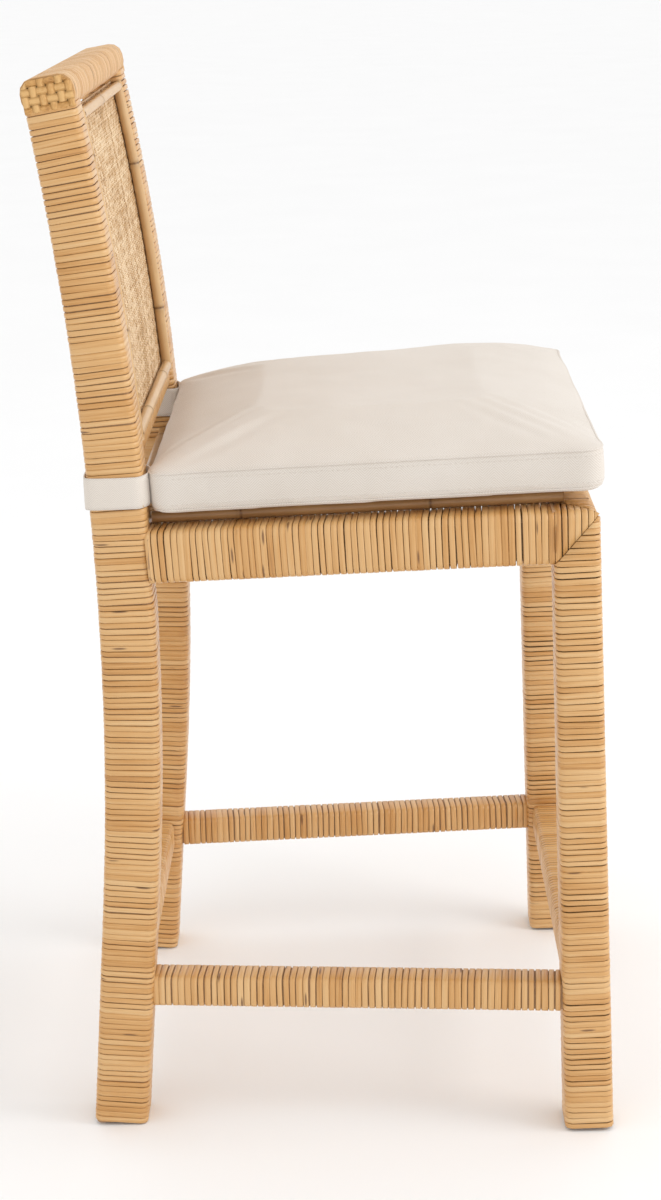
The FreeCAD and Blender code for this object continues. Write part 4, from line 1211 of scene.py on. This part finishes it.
@dataclass
class CaneWork:
    """The woven back, the woven seat deck and the plaited rail ends."""

    finishes: Finishes
    back_pitch: float = 2.9 * MM
    seat_pitch: float = 6.2 * MM
    plait_pitch: float = 7.2 * MM

    def back(self, tree: bpy.types.NodeTree) -> None:
        """The fine twill of the back, bent along the posts' curve."""
        low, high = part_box("back_panel")
        margin = 1.0 * MM
        levels = np.linspace(low.z + margin, high.z - margin, 24)
        rows = []
        for level in levels:
            a, b = slice_box("back_panel", Axis.Z, float(level))
            rows.append((0.0, level, (a.y + b.y) / 2))
        table = np.array(rows)
        table[1:, 0] = np.cumsum(np.hypot(np.diff(table[:, 1]), np.diff(table[:, 2])))
        length = table[-1, 0] + 2 * margin
        sheet = WovenSheet("back_panel_weave", high.x - low.x, length, self.back_pitch, 2.5 * MM,
                           1.5 * MM, Weave.TWILL, 5)
        mesh = sheet.build(tree, self.finishes.cane)

        flat = points_of(mesh)
        run = flat[:, 1] + length / 2 - margin
        steepness = np.gradient(table[:, 2], table[:, 0])
        slope = np.interp(run, table[:, 0], steepness)
        level = np.interp(run, table[:, 0], table[:, 1]) + np.minimum(run, 0)
        level += np.maximum(run - table[-1, 0], 0)
        middle = np.interp(run, table[:, 0], table[:, 2])
        bent = np.column_stack((flat[:, 0], middle - flat[:, 2], level + flat[:, 2] * slope))
        set_points(mesh, bent)
        self.place(mesh, "back_panel", "woven_cane")

    def seat(self, tree: bpy.types.NodeTree) -> None:
        """The open-sided seat deck under the cushion, wider at the front."""
        low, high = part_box("seat_panel")
        near, far = low.y + 8 * MM, high.y - 8 * MM
        front_low, front_high = slice_box("seat_panel", Axis.Y, near)
        rear_low, rear_high = slice_box("seat_panel", Axis.Y, far)
        width, length = front_high.x - front_low.x, high.y - low.y
        sheet = WovenSheet("seat_panel_weave", width, length, self.seat_pitch, 5.6 * MM, 1.9 * MM,
                           Weave.TWILL, 6)
        mesh = sheet.build(tree, self.finishes.cane)

        flat = points_of(mesh)
        y = (low.y + high.y) / 2 + flat[:, 1]
        share = (y - near) / (far - near)
        narrow = 1 + share * ((rear_high.x - rear_low.x) / width - 1)
        middle = ((front_low.z + front_high.z) * (1 - share)
                  + (rear_low.z + rear_high.z) * share) / 2
        set_points(mesh, np.column_stack((flat[:, 0] * narrow, y, middle + flat[:, 2])))
        self.place(mesh, "seat_panel", "woven_cane")

    def ends(self, tree: bpy.types.NodeTree) -> None:
        """The plaited caps on the ends of the top rail, cut to the rail's rounded outline."""
        centre, run, deep, high = TopRail(self.finishes).measured()
        rise = ACROSS.cross(run)
        for word, sign in SIDES.items():
            node = f"{word}_rail_end_cap"
            low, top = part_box(node)
            sheet = WovenSheet(f"{node}_plait", deep * 1.3, high * 1.5, self.plait_pitch,
                               6.9 * MM, 2.0 * MM, Weave.PLAIN, 8)
            mesh = sheet.build(tree, self.finishes.plait)
            middle = Vector(((low.x + top.x) / 2, centre.y, centre.z))
            turned = np.array([run * -sign, rise, ACROSS * sign])
            set_points(mesh, points_of(mesh) @ turned + np.array(middle))
            inset = 1.6 * MM
            for direction, reach in ((run, deep / 2), (-run, deep / 2), (rise, high / 2),
                                     (-rise, high / 2)):
                Clip(middle + direction * (reach - inset), direction).cut(mesh)
            for direction in (run, -run):
                slant = (direction + rise).normalized()
                corner = middle + direction * (deep / 2 - inset) + rise * (high / 2 - inset)
                Clip(corner - slant * 4.6 * MM, slant).cut(mesh)
            face_outwards(mesh)
            self.place(mesh, node, "plaited_rattan")

    def place(self, mesh: bpy.types.Mesh, node: str, slot: str) -> None:
        """Put a finished weave in for its CAD node."""
        piece = link(f"{node}_weave", mesh)
        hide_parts(node)
        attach(piece, "frame")
        LOG.info("%s woven with %d faces", node, len(mesh.polygons))

    def build(self) -> None:
        """Weave everything."""
        tree = make_weaving_tree()
        self.back(tree)
        self.seat(tree)
        self.ends(tree)


# ---------------------------------------------------------------- poles

@dataclass
class Pole:
    """A whole rattan pole with a raised, dark node every so often."""

    node: str
    axis: Axis
    joints: Sequence[float]
    around: int = 16
    step: float = 4.0 * MM
    swell: float = 0.075
    waver: float = 0.025
    seed: int = 1

    def build(self, finish: bpy.types.Material) -> bpy.types.Object:
        """Sweep the pole along its CAD node.

        Args:
            finish: The pole's material.

        Returns:
            The finished piece.
        """
        low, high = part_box(self.node)
        start, end = low[self.axis.value], high[self.axis.value]
        margin = 0.02 * (end - start)
        rows = []
        for level in np.linspace(start + margin, end - margin, 14):
            a, b = slice_box(self.node, self.axis, float(level))
            size = [float(b[i] - a[i]) for i in range(3) if i != self.axis.value]
            rows.append((level, *((a + b) / 2), min(size)))
        table = np.array(rows)
        radius = float(np.median(table[:, 4])) / 2
        spots = [start + 0.2 * MM]
        marks = [start + (end - start) * share for share in self.joints]
        while spots[-1] < end - self.step:
            close = min((abs(spots[-1] - mark) for mark in marks), default=1.0)
            spots.append(spots[-1] + (0.8 * MM if close < 5 * MM else self.step))
        spots.append(end - 0.2 * MM)
        rng = random.Random(self.seed)
        phase = rng.random() * 9
        points, rings, grain = [], [], []
        for spot in spots:
            row = interpolated(spot, table)
            centre = Vector(row[1:4])
            centre[self.axis.value] = spot
            ahead = Vector(interpolated(spot + 1 * MM, table)[1:4])
            ahead[self.axis.value] = spot + 1 * MM
            tangent = (ahead - centre).normalized()
            first = tangent.cross(ACROSS if self.axis is not Axis.X else UP).normalized()
            second = tangent.cross(first)
            gap = min((abs(spot - mark) for mark in marks), default=1.0)
            ridge, near, lip = bell(gap, 1.7 * MM), bell(gap, 6 * MM), bell(gap - 2.4 * MM, 1.2 * MM)
            waver = noise.noise(Vector((spot * 25, phase, 0))) * self.waver
            size = radius * (0.965 + waver + self.swell * (near * 0.5 + lip) - 0.05 * ridge)
            for k in range(self.around):
                turn = math.tau * k / self.around
                points.append(centre + (first * math.cos(turn) + second * math.sin(turn)) * size)
                rings.append(max(ridge, 0.45 * near))
                grain.append((spot, 0.0, turn * radius))
        faces = ring_faces(len(spots), self.around, False)
        faces.append(tuple(range(self.around)))
        faces.append(tuple(reversed(range(len(points) - self.around, len(points)))))
        mesh = mesh_of(f"{self.node}_pole", points, faces)
        store(mesh, "peel", "FLOAT_VECTOR", np.array(grain))
        store(mesh, "ring", "FLOAT", np.array(rings))
        store(mesh, "pick", "FLOAT", np.full(len(points), rng.random()))
        mesh.shade_smooth()
        mesh.materials.append(finish)
        face_outwards(mesh)
        return link(f"{self.node}_rattan", mesh)


@dataclass
class Poles:
    """The poles round the back panel and round the seat deck."""

    finishes: Finishes

    def build(self) -> None:
        """Sweep every pole and let it stand for its CAD node."""
        poles = [Pole("left_back_pole", Axis.Z, (0.22, 0.72)),
                 Pole("right_back_pole", Axis.Z, (0.34, 0.86)),
                 Pole("top_back_pole", Axis.X, (0.46,)),
                 Pole("bottom_back_pole", Axis.X, (0.3, 0.83)),
                 Pole("left_seat_pole", Axis.Y, (0.25, 0.71)),
                 Pole("right_seat_pole", Axis.Y, (0.32, 0.78)),
                 Pole("front_seat_pole", Axis.X, (0.2, 0.66)),
                 Pole("rear_seat_pole", Axis.X, (0.42, 0.9))]
        for number, pole in enumerate(poles):
            pole.seed = number + 1
            # the seat poles take the darker copy of the pole finish, painted shade for their place under
            # the cushion
            shaded = "seat" in pole.node
            piece = pole.build(self.finishes.painted_shade_pole if shaded else self.finishes.pole)
            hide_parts(pole.node)
            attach(piece, "frame")
        LOG.info("%d poles laid", len(poles))


# ---------------------------------------------------------------- cushion

def box_uv(mesh: bpy.types.Mesh) -> None:
    """Lay the cloth on a mesh from above, from the front or from the side, in metres."""
    layer = mesh.uv_layers.new(name="cloth")
    for face in mesh.polygons:
        normal = [abs(value) for value in face.normal]
        normal[2] *= 1.3
        main = normal.index(max(normal))
        first, second = ((1, 2), (0, 2), (0, 1))[main]
        for loop in face.loop_indices:
            place = mesh.vertices[mesh.loops[loop].vertex_index].co
            layer.data[loop].uv = (place[first], place[second])


def make_stitch_tree() -> bpy.types.NodeTree:
    """A row of stitches along a path, each a short bead that lies in line with it."""
    g, given, out = new_tree(
        "stitch_row", "GeometryNodeTree",
        [("Stitch", "Geometry", None), ("Path", "Object", None), ("Pitch", "Float", 0.005),
         ("Seed", "Int", 1), ("Finish", "Material", None)], [("Geometry", "Geometry")])
    take = given.outputs
    path = g.add("GeometryNodeObjectInfo", {"Object": take["Path"]})
    spots = g.add("GeometryNodeCurveToPoints", {"Curve": path.outputs["Geometry"]}, mode="LENGTH")
    g.feed(spots.inputs["Length"], take["Pitch"])
    facing = g.add("FunctionNodeAxesToRotation",
                   {"Primary Axis": spots.outputs["Tangent"], "Secondary Axis": (0, 0, 1)},
                   primary_axis="X", secondary_axis="Z")
    vary = g.add("FunctionNodeRandomValue", {"Min": 0.85, "Max": 1.1, "Seed": take["Seed"]})
    size = g.add("ShaderNodeCombineXYZ", {"X": vary, "Y": 1.0, "Z": 1.0})
    stitch = g.add("GeometryNodeSetShadeSmooth", {"Geometry": take["Stitch"]})
    row = g.add("GeometryNodeInstanceOnPoints",
                {"Points": spots.outputs["Points"], "Instance": stitch,
                 "Rotation": facing, "Scale": size})
    return g.hand_on(out, row, take["Finish"])


@dataclass
class Cushion:
    """The boxed seat cushion with its seams, its welts and its stitching."""

    finishes: Finishes
    voxel: float = 5.0 * MM
    cap: float = 6.0 * MM
    pressure: float = 4.0
    frames: int = 20
    seam_height: float = 38.5 * MM
    low_seam_height: float = 5.5 * MM
    groove: float = 1.0 * MM
    corner_radius: float = 24.0 * MM
    dome_run: float = 74.0 * MM
    crown: float = 25.0 * MM

    def frame_of(self) -> Matrix:
        """The cushion's own frame: its underside's rear middle, tilted as the seat is."""
        low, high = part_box("cushion_cover")
        near, far = low.y + 60 * MM, high.y - 60 * MM
        z_near = slice_box("cushion_cover", Axis.Y, near)[0].z
        z_far = slice_box("cushion_cover", Axis.Y, far)[0].z
        tilt = math.atan2(z_far - z_near, far - near)
        origin = Vector((0, high.y, z_far + (high.y - far) * math.tan(tilt)))
        return Matrix.Translation(origin) @ Matrix.Rotation(tilt, 4, "X")

    def corners(self, inset: float = 0.0) -> list[Vector]:
        """The four corners of the cushion's plan in its own frame, before they are rounded."""
        low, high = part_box("cushion_cover")
        length, past_corner = high.y - low.y, 30 * MM
        rear = slice_box("cushion_cover", Axis.Y, high.y - past_corner)[1].x
        front = slice_box("cushion_cover", Axis.Y, low.y + past_corner)[1].x
        slant = (front - rear) / (length - 2 * past_corner)
        rear, front = rear - past_corner * slant - inset, front + past_corner * slant - inset
        return [Vector((rear, -inset)), Vector((front, inset - length)),
                Vector((-front, inset - length)), Vector((-rear, -inset))]

    def outline(self, step: float) -> list[Vector]:
        """The cushion's plan in its own frame, from its rear left corner round to it again.

        Args:
            step: The distance between points.

        Returns:
            The points of the closed plan.
        """
        corners, radius = self.corners(), self.corner_radius
        sagitta = 1 - math.sqrt(0.5)
        points = []
        for i, corner in enumerate(corners):
            back = (corners[i - 1] - corner).normalized()
            ahead = (corners[(i + 1) % 4] - corner).normalized()
            start, end = corner + back * radius, corner + ahead * radius
            for k in range(9):
                t = k / 8
                reach = 4 * sagitta * t * (1 - t)
                points.append(start.lerp(end, t) + (corner - (start + end) / 2) * reach)
        dense = []
        for i, point in enumerate(points):
            ahead = points[(i + 1) % len(points)]
            parts = max(1, round((ahead - point).length / step))
            dense += [point.lerp(ahead, k / parts) for k in range(parts)]
        return [Vector((p.x, p.y, 0)) for p in dense]

    def base(self, home: Matrix) -> bpy.types.Object:
        """The cushion before it is filled: a copy of the foam, remeshed and domed above its seam.

        Args:
            home: The cushion's own frame.

        Returns:
            The object to be filled.
        """
        shape = bmesh.new()
        shape.from_mesh(frame["nodes"]["cushion_foam"].data)
        bmesh.ops.remove_doubles(shape, verts=shape.verts, dist=1e-6)
        mesh = bpy.data.meshes.new("cushion_base")
        shape.to_mesh(mesh)
        shape.free()
        piece = link("cushion_base", mesh)
        modifier = piece.modifiers.new("grid", "REMESH")
        modifier.mode = "VOXEL"
        modifier.voxel_size = self.voxel
        solid = evaluated(piece)
        piece.modifiers.clear()
        piece.data = solid
        back = home.inverted()
        top = max((back @ v.co).z for v in solid.vertices)
        flip, shift = np.array(back.to_3x3()), np.array(back.translation)
        places = points_of(solid) @ flip.T + shift
        sides = [np.array(corner) for corner in self.corners(1.5 * MM)]
        dome = np.ones(len(places))
        for start, end in zip(sides, sides[1:] + sides[:1]):
            run = (end - start) / np.linalg.norm(end - start)
            gap = places[:, :2] - start
            depth = np.abs(gap[:, 0] * run[1] - gap[:, 1] * run[0])
            dome *= 1 - (1 - np.minimum(1.0, depth / self.dome_run)) ** 2.3
        for corner, fullness in zip(self.corners(), (7.5, 6.0, 6.0, 7.5)):
            gap = places[:, :2] - np.array(corner)
            pull = np.exp(-(gap ** 2).sum(1) / (26 * MM) ** 2)[:, None]
            away = np.array((corner.x, -abs(corner.x) if corner.y < 0 else abs(corner.x)))
            places[:, :2] += pull * away / np.linalg.norm(away) * fullness * MM
        share = (places[:, 2] - self.seam_height) / (top - self.seam_height)
        domed = self.seam_height + share * self.crown * (0.10 + 0.90 * dome)
        places[:, 2] = np.where(share > 0, domed, places[:, 2])
        set_points(solid, places @ np.array(home.to_3x3()).T + np.array(home.translation))
        return piece

    def fill(self, piece: bpy.types.Object, home: Matrix) -> None:
        """Swell the cushion by a cloth simulation, held along its seams and on its underside.

        Args:
            piece: The cushion before it is filled.
            home: The cushion's own frame.
        """
        back = home.inverted()
        held = piece.vertex_groups.new(name="held")
        for vertex in piece.data.vertices:
            height = (back @ vertex.co).z
            seam = bell(height - self.seam_height, 3.2 * MM)
            under = bell(height - 2 * MM, 4 * MM)
            held.add([vertex.index], max(seam, under), "REPLACE")
        modifier = piece.modifiers.new("cloth", "CLOTH")
        settings = {"quality": 5, "mass": 0.3, "tension_stiffness": 12.0,
                    "compression_stiffness": 12.0, "shear_stiffness": 4.0,
                    "bending_stiffness": 0.3, "use_pressure": True,
                    "uniform_pressure_force": self.pressure, "vertex_group_mass": held.name,
                    "pin_stiffness": 1.0}
        for name, value in settings.items():
            setattr(modifier.settings, name, value)
        modifier.settings.effector_weights.gravity = 0.0
        modifier.collision_settings.use_collision = False
        scene = bpy.context.scene
        for step in range(1, self.frames + 1):
            scene.frame_set(step)
        swollen = evaluated(piece)
        for old, new in zip(piece.data.vertices, swollen.vertices):
            shift = new.co - old.co
            if shift.length > self.cap:
                shift *= self.cap / shift.length
            old.co = old.co + shift
        piece.modifiers.clear()
        scene.frame_set(1)

    def finish(self, piece: bpy.types.Object, home: Matrix) -> bpy.types.Object:
        """Smooth the cushion, cut its seams into it and lay the cloth on it.

        Args:
            piece: The filled cushion.
            home: The cushion's own frame.

        Returns:
            The finished cushion.
        """
        modifier = piece.modifiers.new("soft", "SUBSURF")
        modifier.levels = modifier.render_levels = 1
        mesh = evaluated(piece)
        bpy.data.objects.remove(piece)
        back = home.inverted()
        normals = [vertex.normal.copy() for vertex in mesh.vertices]
        for vertex, normal in zip(mesh.vertices, normals):
            place = back @ vertex.co
            groove = self.groove * sum(bell(place.z - seam, 1.5 * MM)
                                       for seam in (self.seam_height, self.low_seam_height))
            soft = noise.noise(vertex.co * 13) * 1.2 * MM + noise.noise(vertex.co * 34) * 0.5 * MM
            upper = min(1.0, max(0.0, place.z / (20 * MM)))
            side = min(1.0, abs(normal.x) + abs(normal.y))
            vertex.co = vertex.co + normal * (soft * upper - groove * side)
        box_uv(mesh)
        mesh.shade_smooth()
        mesh.materials.append(self.finishes.cloth)
        return link("cushion_boxed_cover", mesh)

    def seam_path(self, cushion: bpy.types.Object, home: Matrix, height: float,
                  proud: float) -> list[Vector]:
        """Where a seam lies on the filled cushion.

        Args:
            cushion: The finished cushion.
            home: The cushion's own frame.
            height: The seam's height above the cushion's underside.
            proud: How far outside the surface the seam lies.

        Returns:
            The points of the closed seam.
        """
        tree = BVHTree.FromObject(cushion, bpy.context.evaluated_depsgraph_get())
        centre = Vector((0, -0.19, height))
        points = []
        for spot in self.outline(5 * MM):
            start = Vector((spot.x, spot.y, height))
            away = (start - centre).normalized()
            origin = home @ (start + away * 60 * MM)
            direction = (home.to_3x3() @ -away).normalized()
            hit, _, _, _ = tree.ray_cast(origin, direction, 0.2)
            if hit:
                points.append(hit - direction * proud)
        return points

    def welt(self, name: str, points: Sequence[Vector], radius: float) -> bpy.types.Object:
        """A narrow self-fabric ridge along a seam.

        Args:
            name: The piece's name.
            points: The seam's points.
            radius: Half the ridge's thickness.

        Returns:
            The finished ridge.
        """
        around = 8
        count = len(points)
        corners = []
        for i, point in enumerate(points):
            tangent = (points[(i + 1) % count] - points[i - 1]).normalized()
            out = tangent.cross(UP).normalized()
            rise = out.cross(tangent)
            for k in range(around):
                turn = math.tau * k / around
                corners.append(point + out * (math.cos(turn) * radius)
                               + rise * (math.sin(turn) * radius * 0.8))
        mesh = mesh_of(name, corners, ring_faces(count, around, True))
        face_outwards(mesh)
        box_uv(mesh)
        mesh.shade_smooth()
        mesh.materials.append(self.finishes.cloth)
        return link(name, mesh)

    def stitches(self, name: str, points: Sequence[Vector], tree: bpy.types.NodeTree,
                 seed: int) -> bpy.types.Object:
        """A row of topstitching.

        Args:
            name: The piece's name.
            points: The row's points.
            tree: The stitch tree.
            seed: The seed of the row's small differences.

        Returns:
            The finished row.
        """
        path = lay_path(name, points, closed=True)
        shape = bmesh.new()
        bmesh.ops.create_icosphere(shape, subdivisions=1, radius=1.0)
        bmesh.ops.scale(shape, verts=shape.verts, vec=(1.7 * MM, 0.38 * MM, 0.45 * MM))
        bead = bpy.data.meshes.new("stitch")
        shape.to_mesh(bead)
        shape.free()
        mesh = grown(name, bead, tree, {"Path": path, "Pitch": 4.6 * MM, "Seed": seed,
                                        "Finish": self.finishes.cloth})
        bpy.data.objects.remove(path)
        box_uv(mesh)
        return link(name, mesh)

    def build(self) -> None:
        """Fill the cushion and sew it up."""
        home = self.frame_of()
        piece = self.base(home)
        self.fill(piece, home)
        cushion = self.finish(piece, home)
        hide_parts("cushion_cover", "cushion_foam")
        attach(cushion, "cushion")
        LOG.info("cushion with %d faces", len(cushion.data.polygons))
        tree = make_stitch_tree()
        rows = (("upper", self.seam_height, 1.25 * MM, -5.0 * MM),
                ("lower", self.low_seam_height, 1.1 * MM, 5.0 * MM))
        for number, (word, height, radius, drop) in enumerate(rows):
            welt = self.welt(f"cushion_{word}_welt",
                             self.seam_path(cushion, home, height, 0.2 * MM), radius)
            row = self.stitches(f"cushion_{word}_stitches",
                                self.seam_path(cushion, home, height + drop, 0.05 * MM), tree,
                                number + 1)
            for part in (welt, row):
                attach(part, "cushion")


@dataclass
class Strap:
    """A self-fabric strap from the cushion round a rear post and back."""

    word: str
    sign: float
    finishes: Finishes
    thick: float = 2.0 * MM
    step: float = 3.0 * MM
    rows: int = 9
    turn: float = 7.0 * MM

    def route(self) -> list[Vector]:
        """The middle of the strap seen from above, from its outer sewn end to its inner one."""
        low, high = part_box(f"{self.word}_cushion_strap")
        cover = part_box("cushion_cover")[1].y
        half = self.thick / 2
        inner, outer = sorted((abs(low.x), abs(high.x)))
        inner, outer, back = inner + half, outer - half, high.y - half
        sewn = cover + 0.4 * MM
        turn = self.turn
        plan = [(outer - 33 * MM, sewn - 1.0 * MM), (outer - 21 * MM, sewn),
                (outer - 12 * MM, sewn + 1.2 * MM), (outer - 1.5 * MM, sewn + 7 * MM),
                (outer, sewn + 14 * MM), (outer + 0.3 * MM, (sewn + back) / 2 + 5 * MM),
                (outer, back - turn), (outer - 2 * MM, back - 2 * MM), (outer - turn, back),
                ((inner + outer) / 2, back + 0.5 * MM), (inner + turn, back),
                (inner + 2 * MM, back - 2 * MM), (inner, back - turn),
                (inner, (sewn + back) / 2), (inner, sewn + 8 * MM),
                (inner + 2 * MM, sewn + 2.5 * MM), (inner + 9 * MM, sewn),
                (inner + 19 * MM, sewn - 1.0 * MM)]
        return [Vector((self.sign * x, y, 0)) for x, y in plan]

    def smooth(self) -> list[Vector]:
        """The route with soft bends, in short steps."""
        knots = self.route()
        fine = []
        for i in range(len(knots) - 1):
            before, after = knots[max(i - 1, 0)], knots[min(i + 2, len(knots) - 1)]
            start, end = knots[i], knots[i + 1]
            parts = max(2, round((end - start).length / self.step))
            for k in range(parts):
                t = k / parts
                fine.append(0.5 * ((2 * start) + (end - before) * t
                                   + (2 * before - 5 * start + 4 * end - after) * t * t
                                   + (3 * start - before - 3 * end + after) * t ** 3))
        return fine + [knots[-1]]

    def build(self) -> None:
        """Sew the strap and let it stand for its CAD node."""
        low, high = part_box(f"{self.word}_cushion_strap")
        line = self.smooth()
        count, rows = len(line), self.rows
        run, points, flat = 0.0, [], []
        for i, place in enumerate(line):
            tangent = (line[min(i + 1, count - 1)] - line[max(i - 1, 0)]).normalized()
            out = tangent.cross(UP).normalized()
            run += (place - line[max(i - 1, 0)]).length
            outer, inner, marks = [], [], []
            for k in range(rows):
                share = k / (rows - 1)
                hem = min(share, 1 - share) * (high.z - low.z)
                puff = (0.55 + 0.45 * min(1.0, hem / (2.2 * MM))) * self.thick / 2
                puff -= 0.22 * MM * bell(hem - 3.2 * MM, 0.9 * MM)
                lie = noise.noise(Vector((run * 30, share * 1.5, self.sign * 4))) * 0.5 * MM
                level = low.z + share * (high.z - low.z)
                level += noise.noise(Vector((run * 18, 3.0, self.sign))) * 0.7 * MM
                middle = Vector((place.x, place.y, level)) + out * lie
                outer.append(middle + out * puff)
                inner.append(middle - out * puff)
                marks.append((run, level))
            points += outer + inner[::-1]
            flat += marks + marks[::-1]
        around = 2 * rows
        faces = ring_faces(count, around, False)
        for first, order in ((0, -1), (len(points) - around, 1)):
            for k in range(first, first + rows - 1):
                across = 2 * first + around - 2 - k
                faces.append((k, k + 1, across, across + 1)[::order])
        name = f"{self.word}_strap_band"
        mesh = mesh_of(name, points, faces)
        face_outwards(mesh)
        layer = mesh.uv_layers.new(name="cloth")
        for loop in mesh.loops:
            layer.data[loop.index].uv = flat[loop.vertex_index]
        mesh.shade_smooth()
        mesh.materials.append(self.finishes.tape)
        piece = link(name, mesh)
        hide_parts(f"{self.word}_cushion_strap")
        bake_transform(piece)
        LOG.info("%s sewn with %d faces", name, len(faces))


# ---------------------------------------------------------------- studio

@dataclass
class Studio:
    """The pale floor, the soft lights and the camera."""

    camera_at: Vector = field(default_factory=lambda: Vector((-2.1515, -0.0288, 1.0865)))
    yaw: float = 0.016
    pitch: float = 0.290
    roll: float = -0.027
    lens: float = 69.62
    floor_reach: float = 40.0
    key_at: Vector = field(default_factory=lambda: Vector((-0.7, -2.6, 1.9)))
    key_aim: Vector = field(default_factory=lambda: Vector((0.0, 0.0, 0.6)))
    key_size: float = 1.4
    key_watts: float = 26.0

    def floor(self) -> None:
        """A wide floor with faint grain."""
        reach = self.floor_reach
        corners = [(-reach, -reach, 0), (reach, -reach, 0), (reach, reach, 0), (-reach, reach, 0)]
        piece = link("studio_floor", mesh_of("studio_floor", corners, [(0, 1, 2, 3)]))
        graph, bsdf, made = shader("studio_floor")
        place = graph.add("ShaderNodeTexCoord").outputs["Object"]
        colour = graph.colours(graph.noise(place, 3.0), [(0.2, (0.955, 0.955, 0.955)),
                                                         (0.8, (0.975, 0.975, 0.975))])
        dress(graph, bsdf, Base_Color=colour, Roughness=0.85, Specular_IOR_Level=0.1)
        piece.data.materials.append(made)

    def lights(self) -> None:
        """A white surround and a soft, square key from in front of the stool."""
        world = bpy.data.worlds.new("studio_world")
        world.use_nodes = True
        background = world.node_tree.nodes["Background"]
        background.inputs["Color"].default_value = (1.0, 1.0, 1.0, 1.0)
        background.inputs["Strength"].default_value = 1.0
        bpy.context.scene.world = world
        bpy.context.scene.view_settings.view_transform = "Standard"
        light = bpy.data.lights.new("key", "AREA")
        light.size, light.energy = self.key_size, self.key_watts
        lamp = link("key", light)
        lamp.location = self.key_at
        lamp.rotation_euler = (self.key_aim - self.key_at).to_track_quat("-Z", "Y").to_euler()

    def camera(self) -> None:
        """The camera at the side of the stool, a little above the seat."""
        cos_p, sin_p = math.cos(self.pitch), math.sin(self.pitch)
        ahead = Vector((cos_p * math.cos(self.yaw), cos_p * math.sin(self.yaw), -sin_p))
        right = ahead.cross(UP).normalized()
        up = right.cross(ahead)
        cos_r, sin_r = math.cos(self.roll), math.sin(self.roll)
        right, up = right * cos_r + up * sin_r, up * cos_r - right * sin_r
        data = bpy.data.cameras.new("camera")
        data.lens = self.lens
        data.sensor_width = 36.0
        data.clip_start = 0.05
        camera = link("camera", data)
        turn = Matrix((right, up, -ahead)).transposed()
        camera.matrix_world = Matrix.Translation(self.camera_at) @ turn.to_4x4()
        bpy.context.scene.camera = camera

    def build(self) -> None:
        """Set up the studio."""
        self.floor()
        self.lights()
        self.camera()


def note_sizes() -> None:
    """Bring the scene up to date."""
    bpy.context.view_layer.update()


def dress_nodes(finishes: Finishes) -> None:
    """Give every CAD node its material."""
    by_slot = {"hardwood": finishes.wood, "rattan_peel": finishes.peel,
               "plaited_rattan": finishes.plait, "rattan_pole": finishes.pole,
               "woven_cane": finishes.cane, "cushion_fabric": finishes.cloth,
               "cushion_foam": finishes.foam, "hook_and_loop": finishes.hook,
               "zip_tape": finishes.zip, "screw_steel": finishes.steel,
               "glide_nylon": finishes.nylon}
    for entry in frame["record"]["subparts"]:
        mesh = frame["nodes"][entry["node"]].data
        mesh.materials.clear()
        mesh.materials.append(by_slot[entry["material_slot"]])


def main() -> None:
    """Build the stool, class by class."""
    logging.basicConfig(level=logging.INFO, format="%(relativeCreated)d %(name)s: %(message)s")
    finishes = Finishes()
    dress_nodes(finishes)
    WoundFrame(finishes).build()
    CaneWork(finishes).build()
    Poles(finishes).build()
    Cushion(finishes).build()
    for word, sign in SIDES.items():
        Strap(word, sign, finishes).build()
    Studio().build()
    note_sizes()


if __name__ == "__main__":
    main()
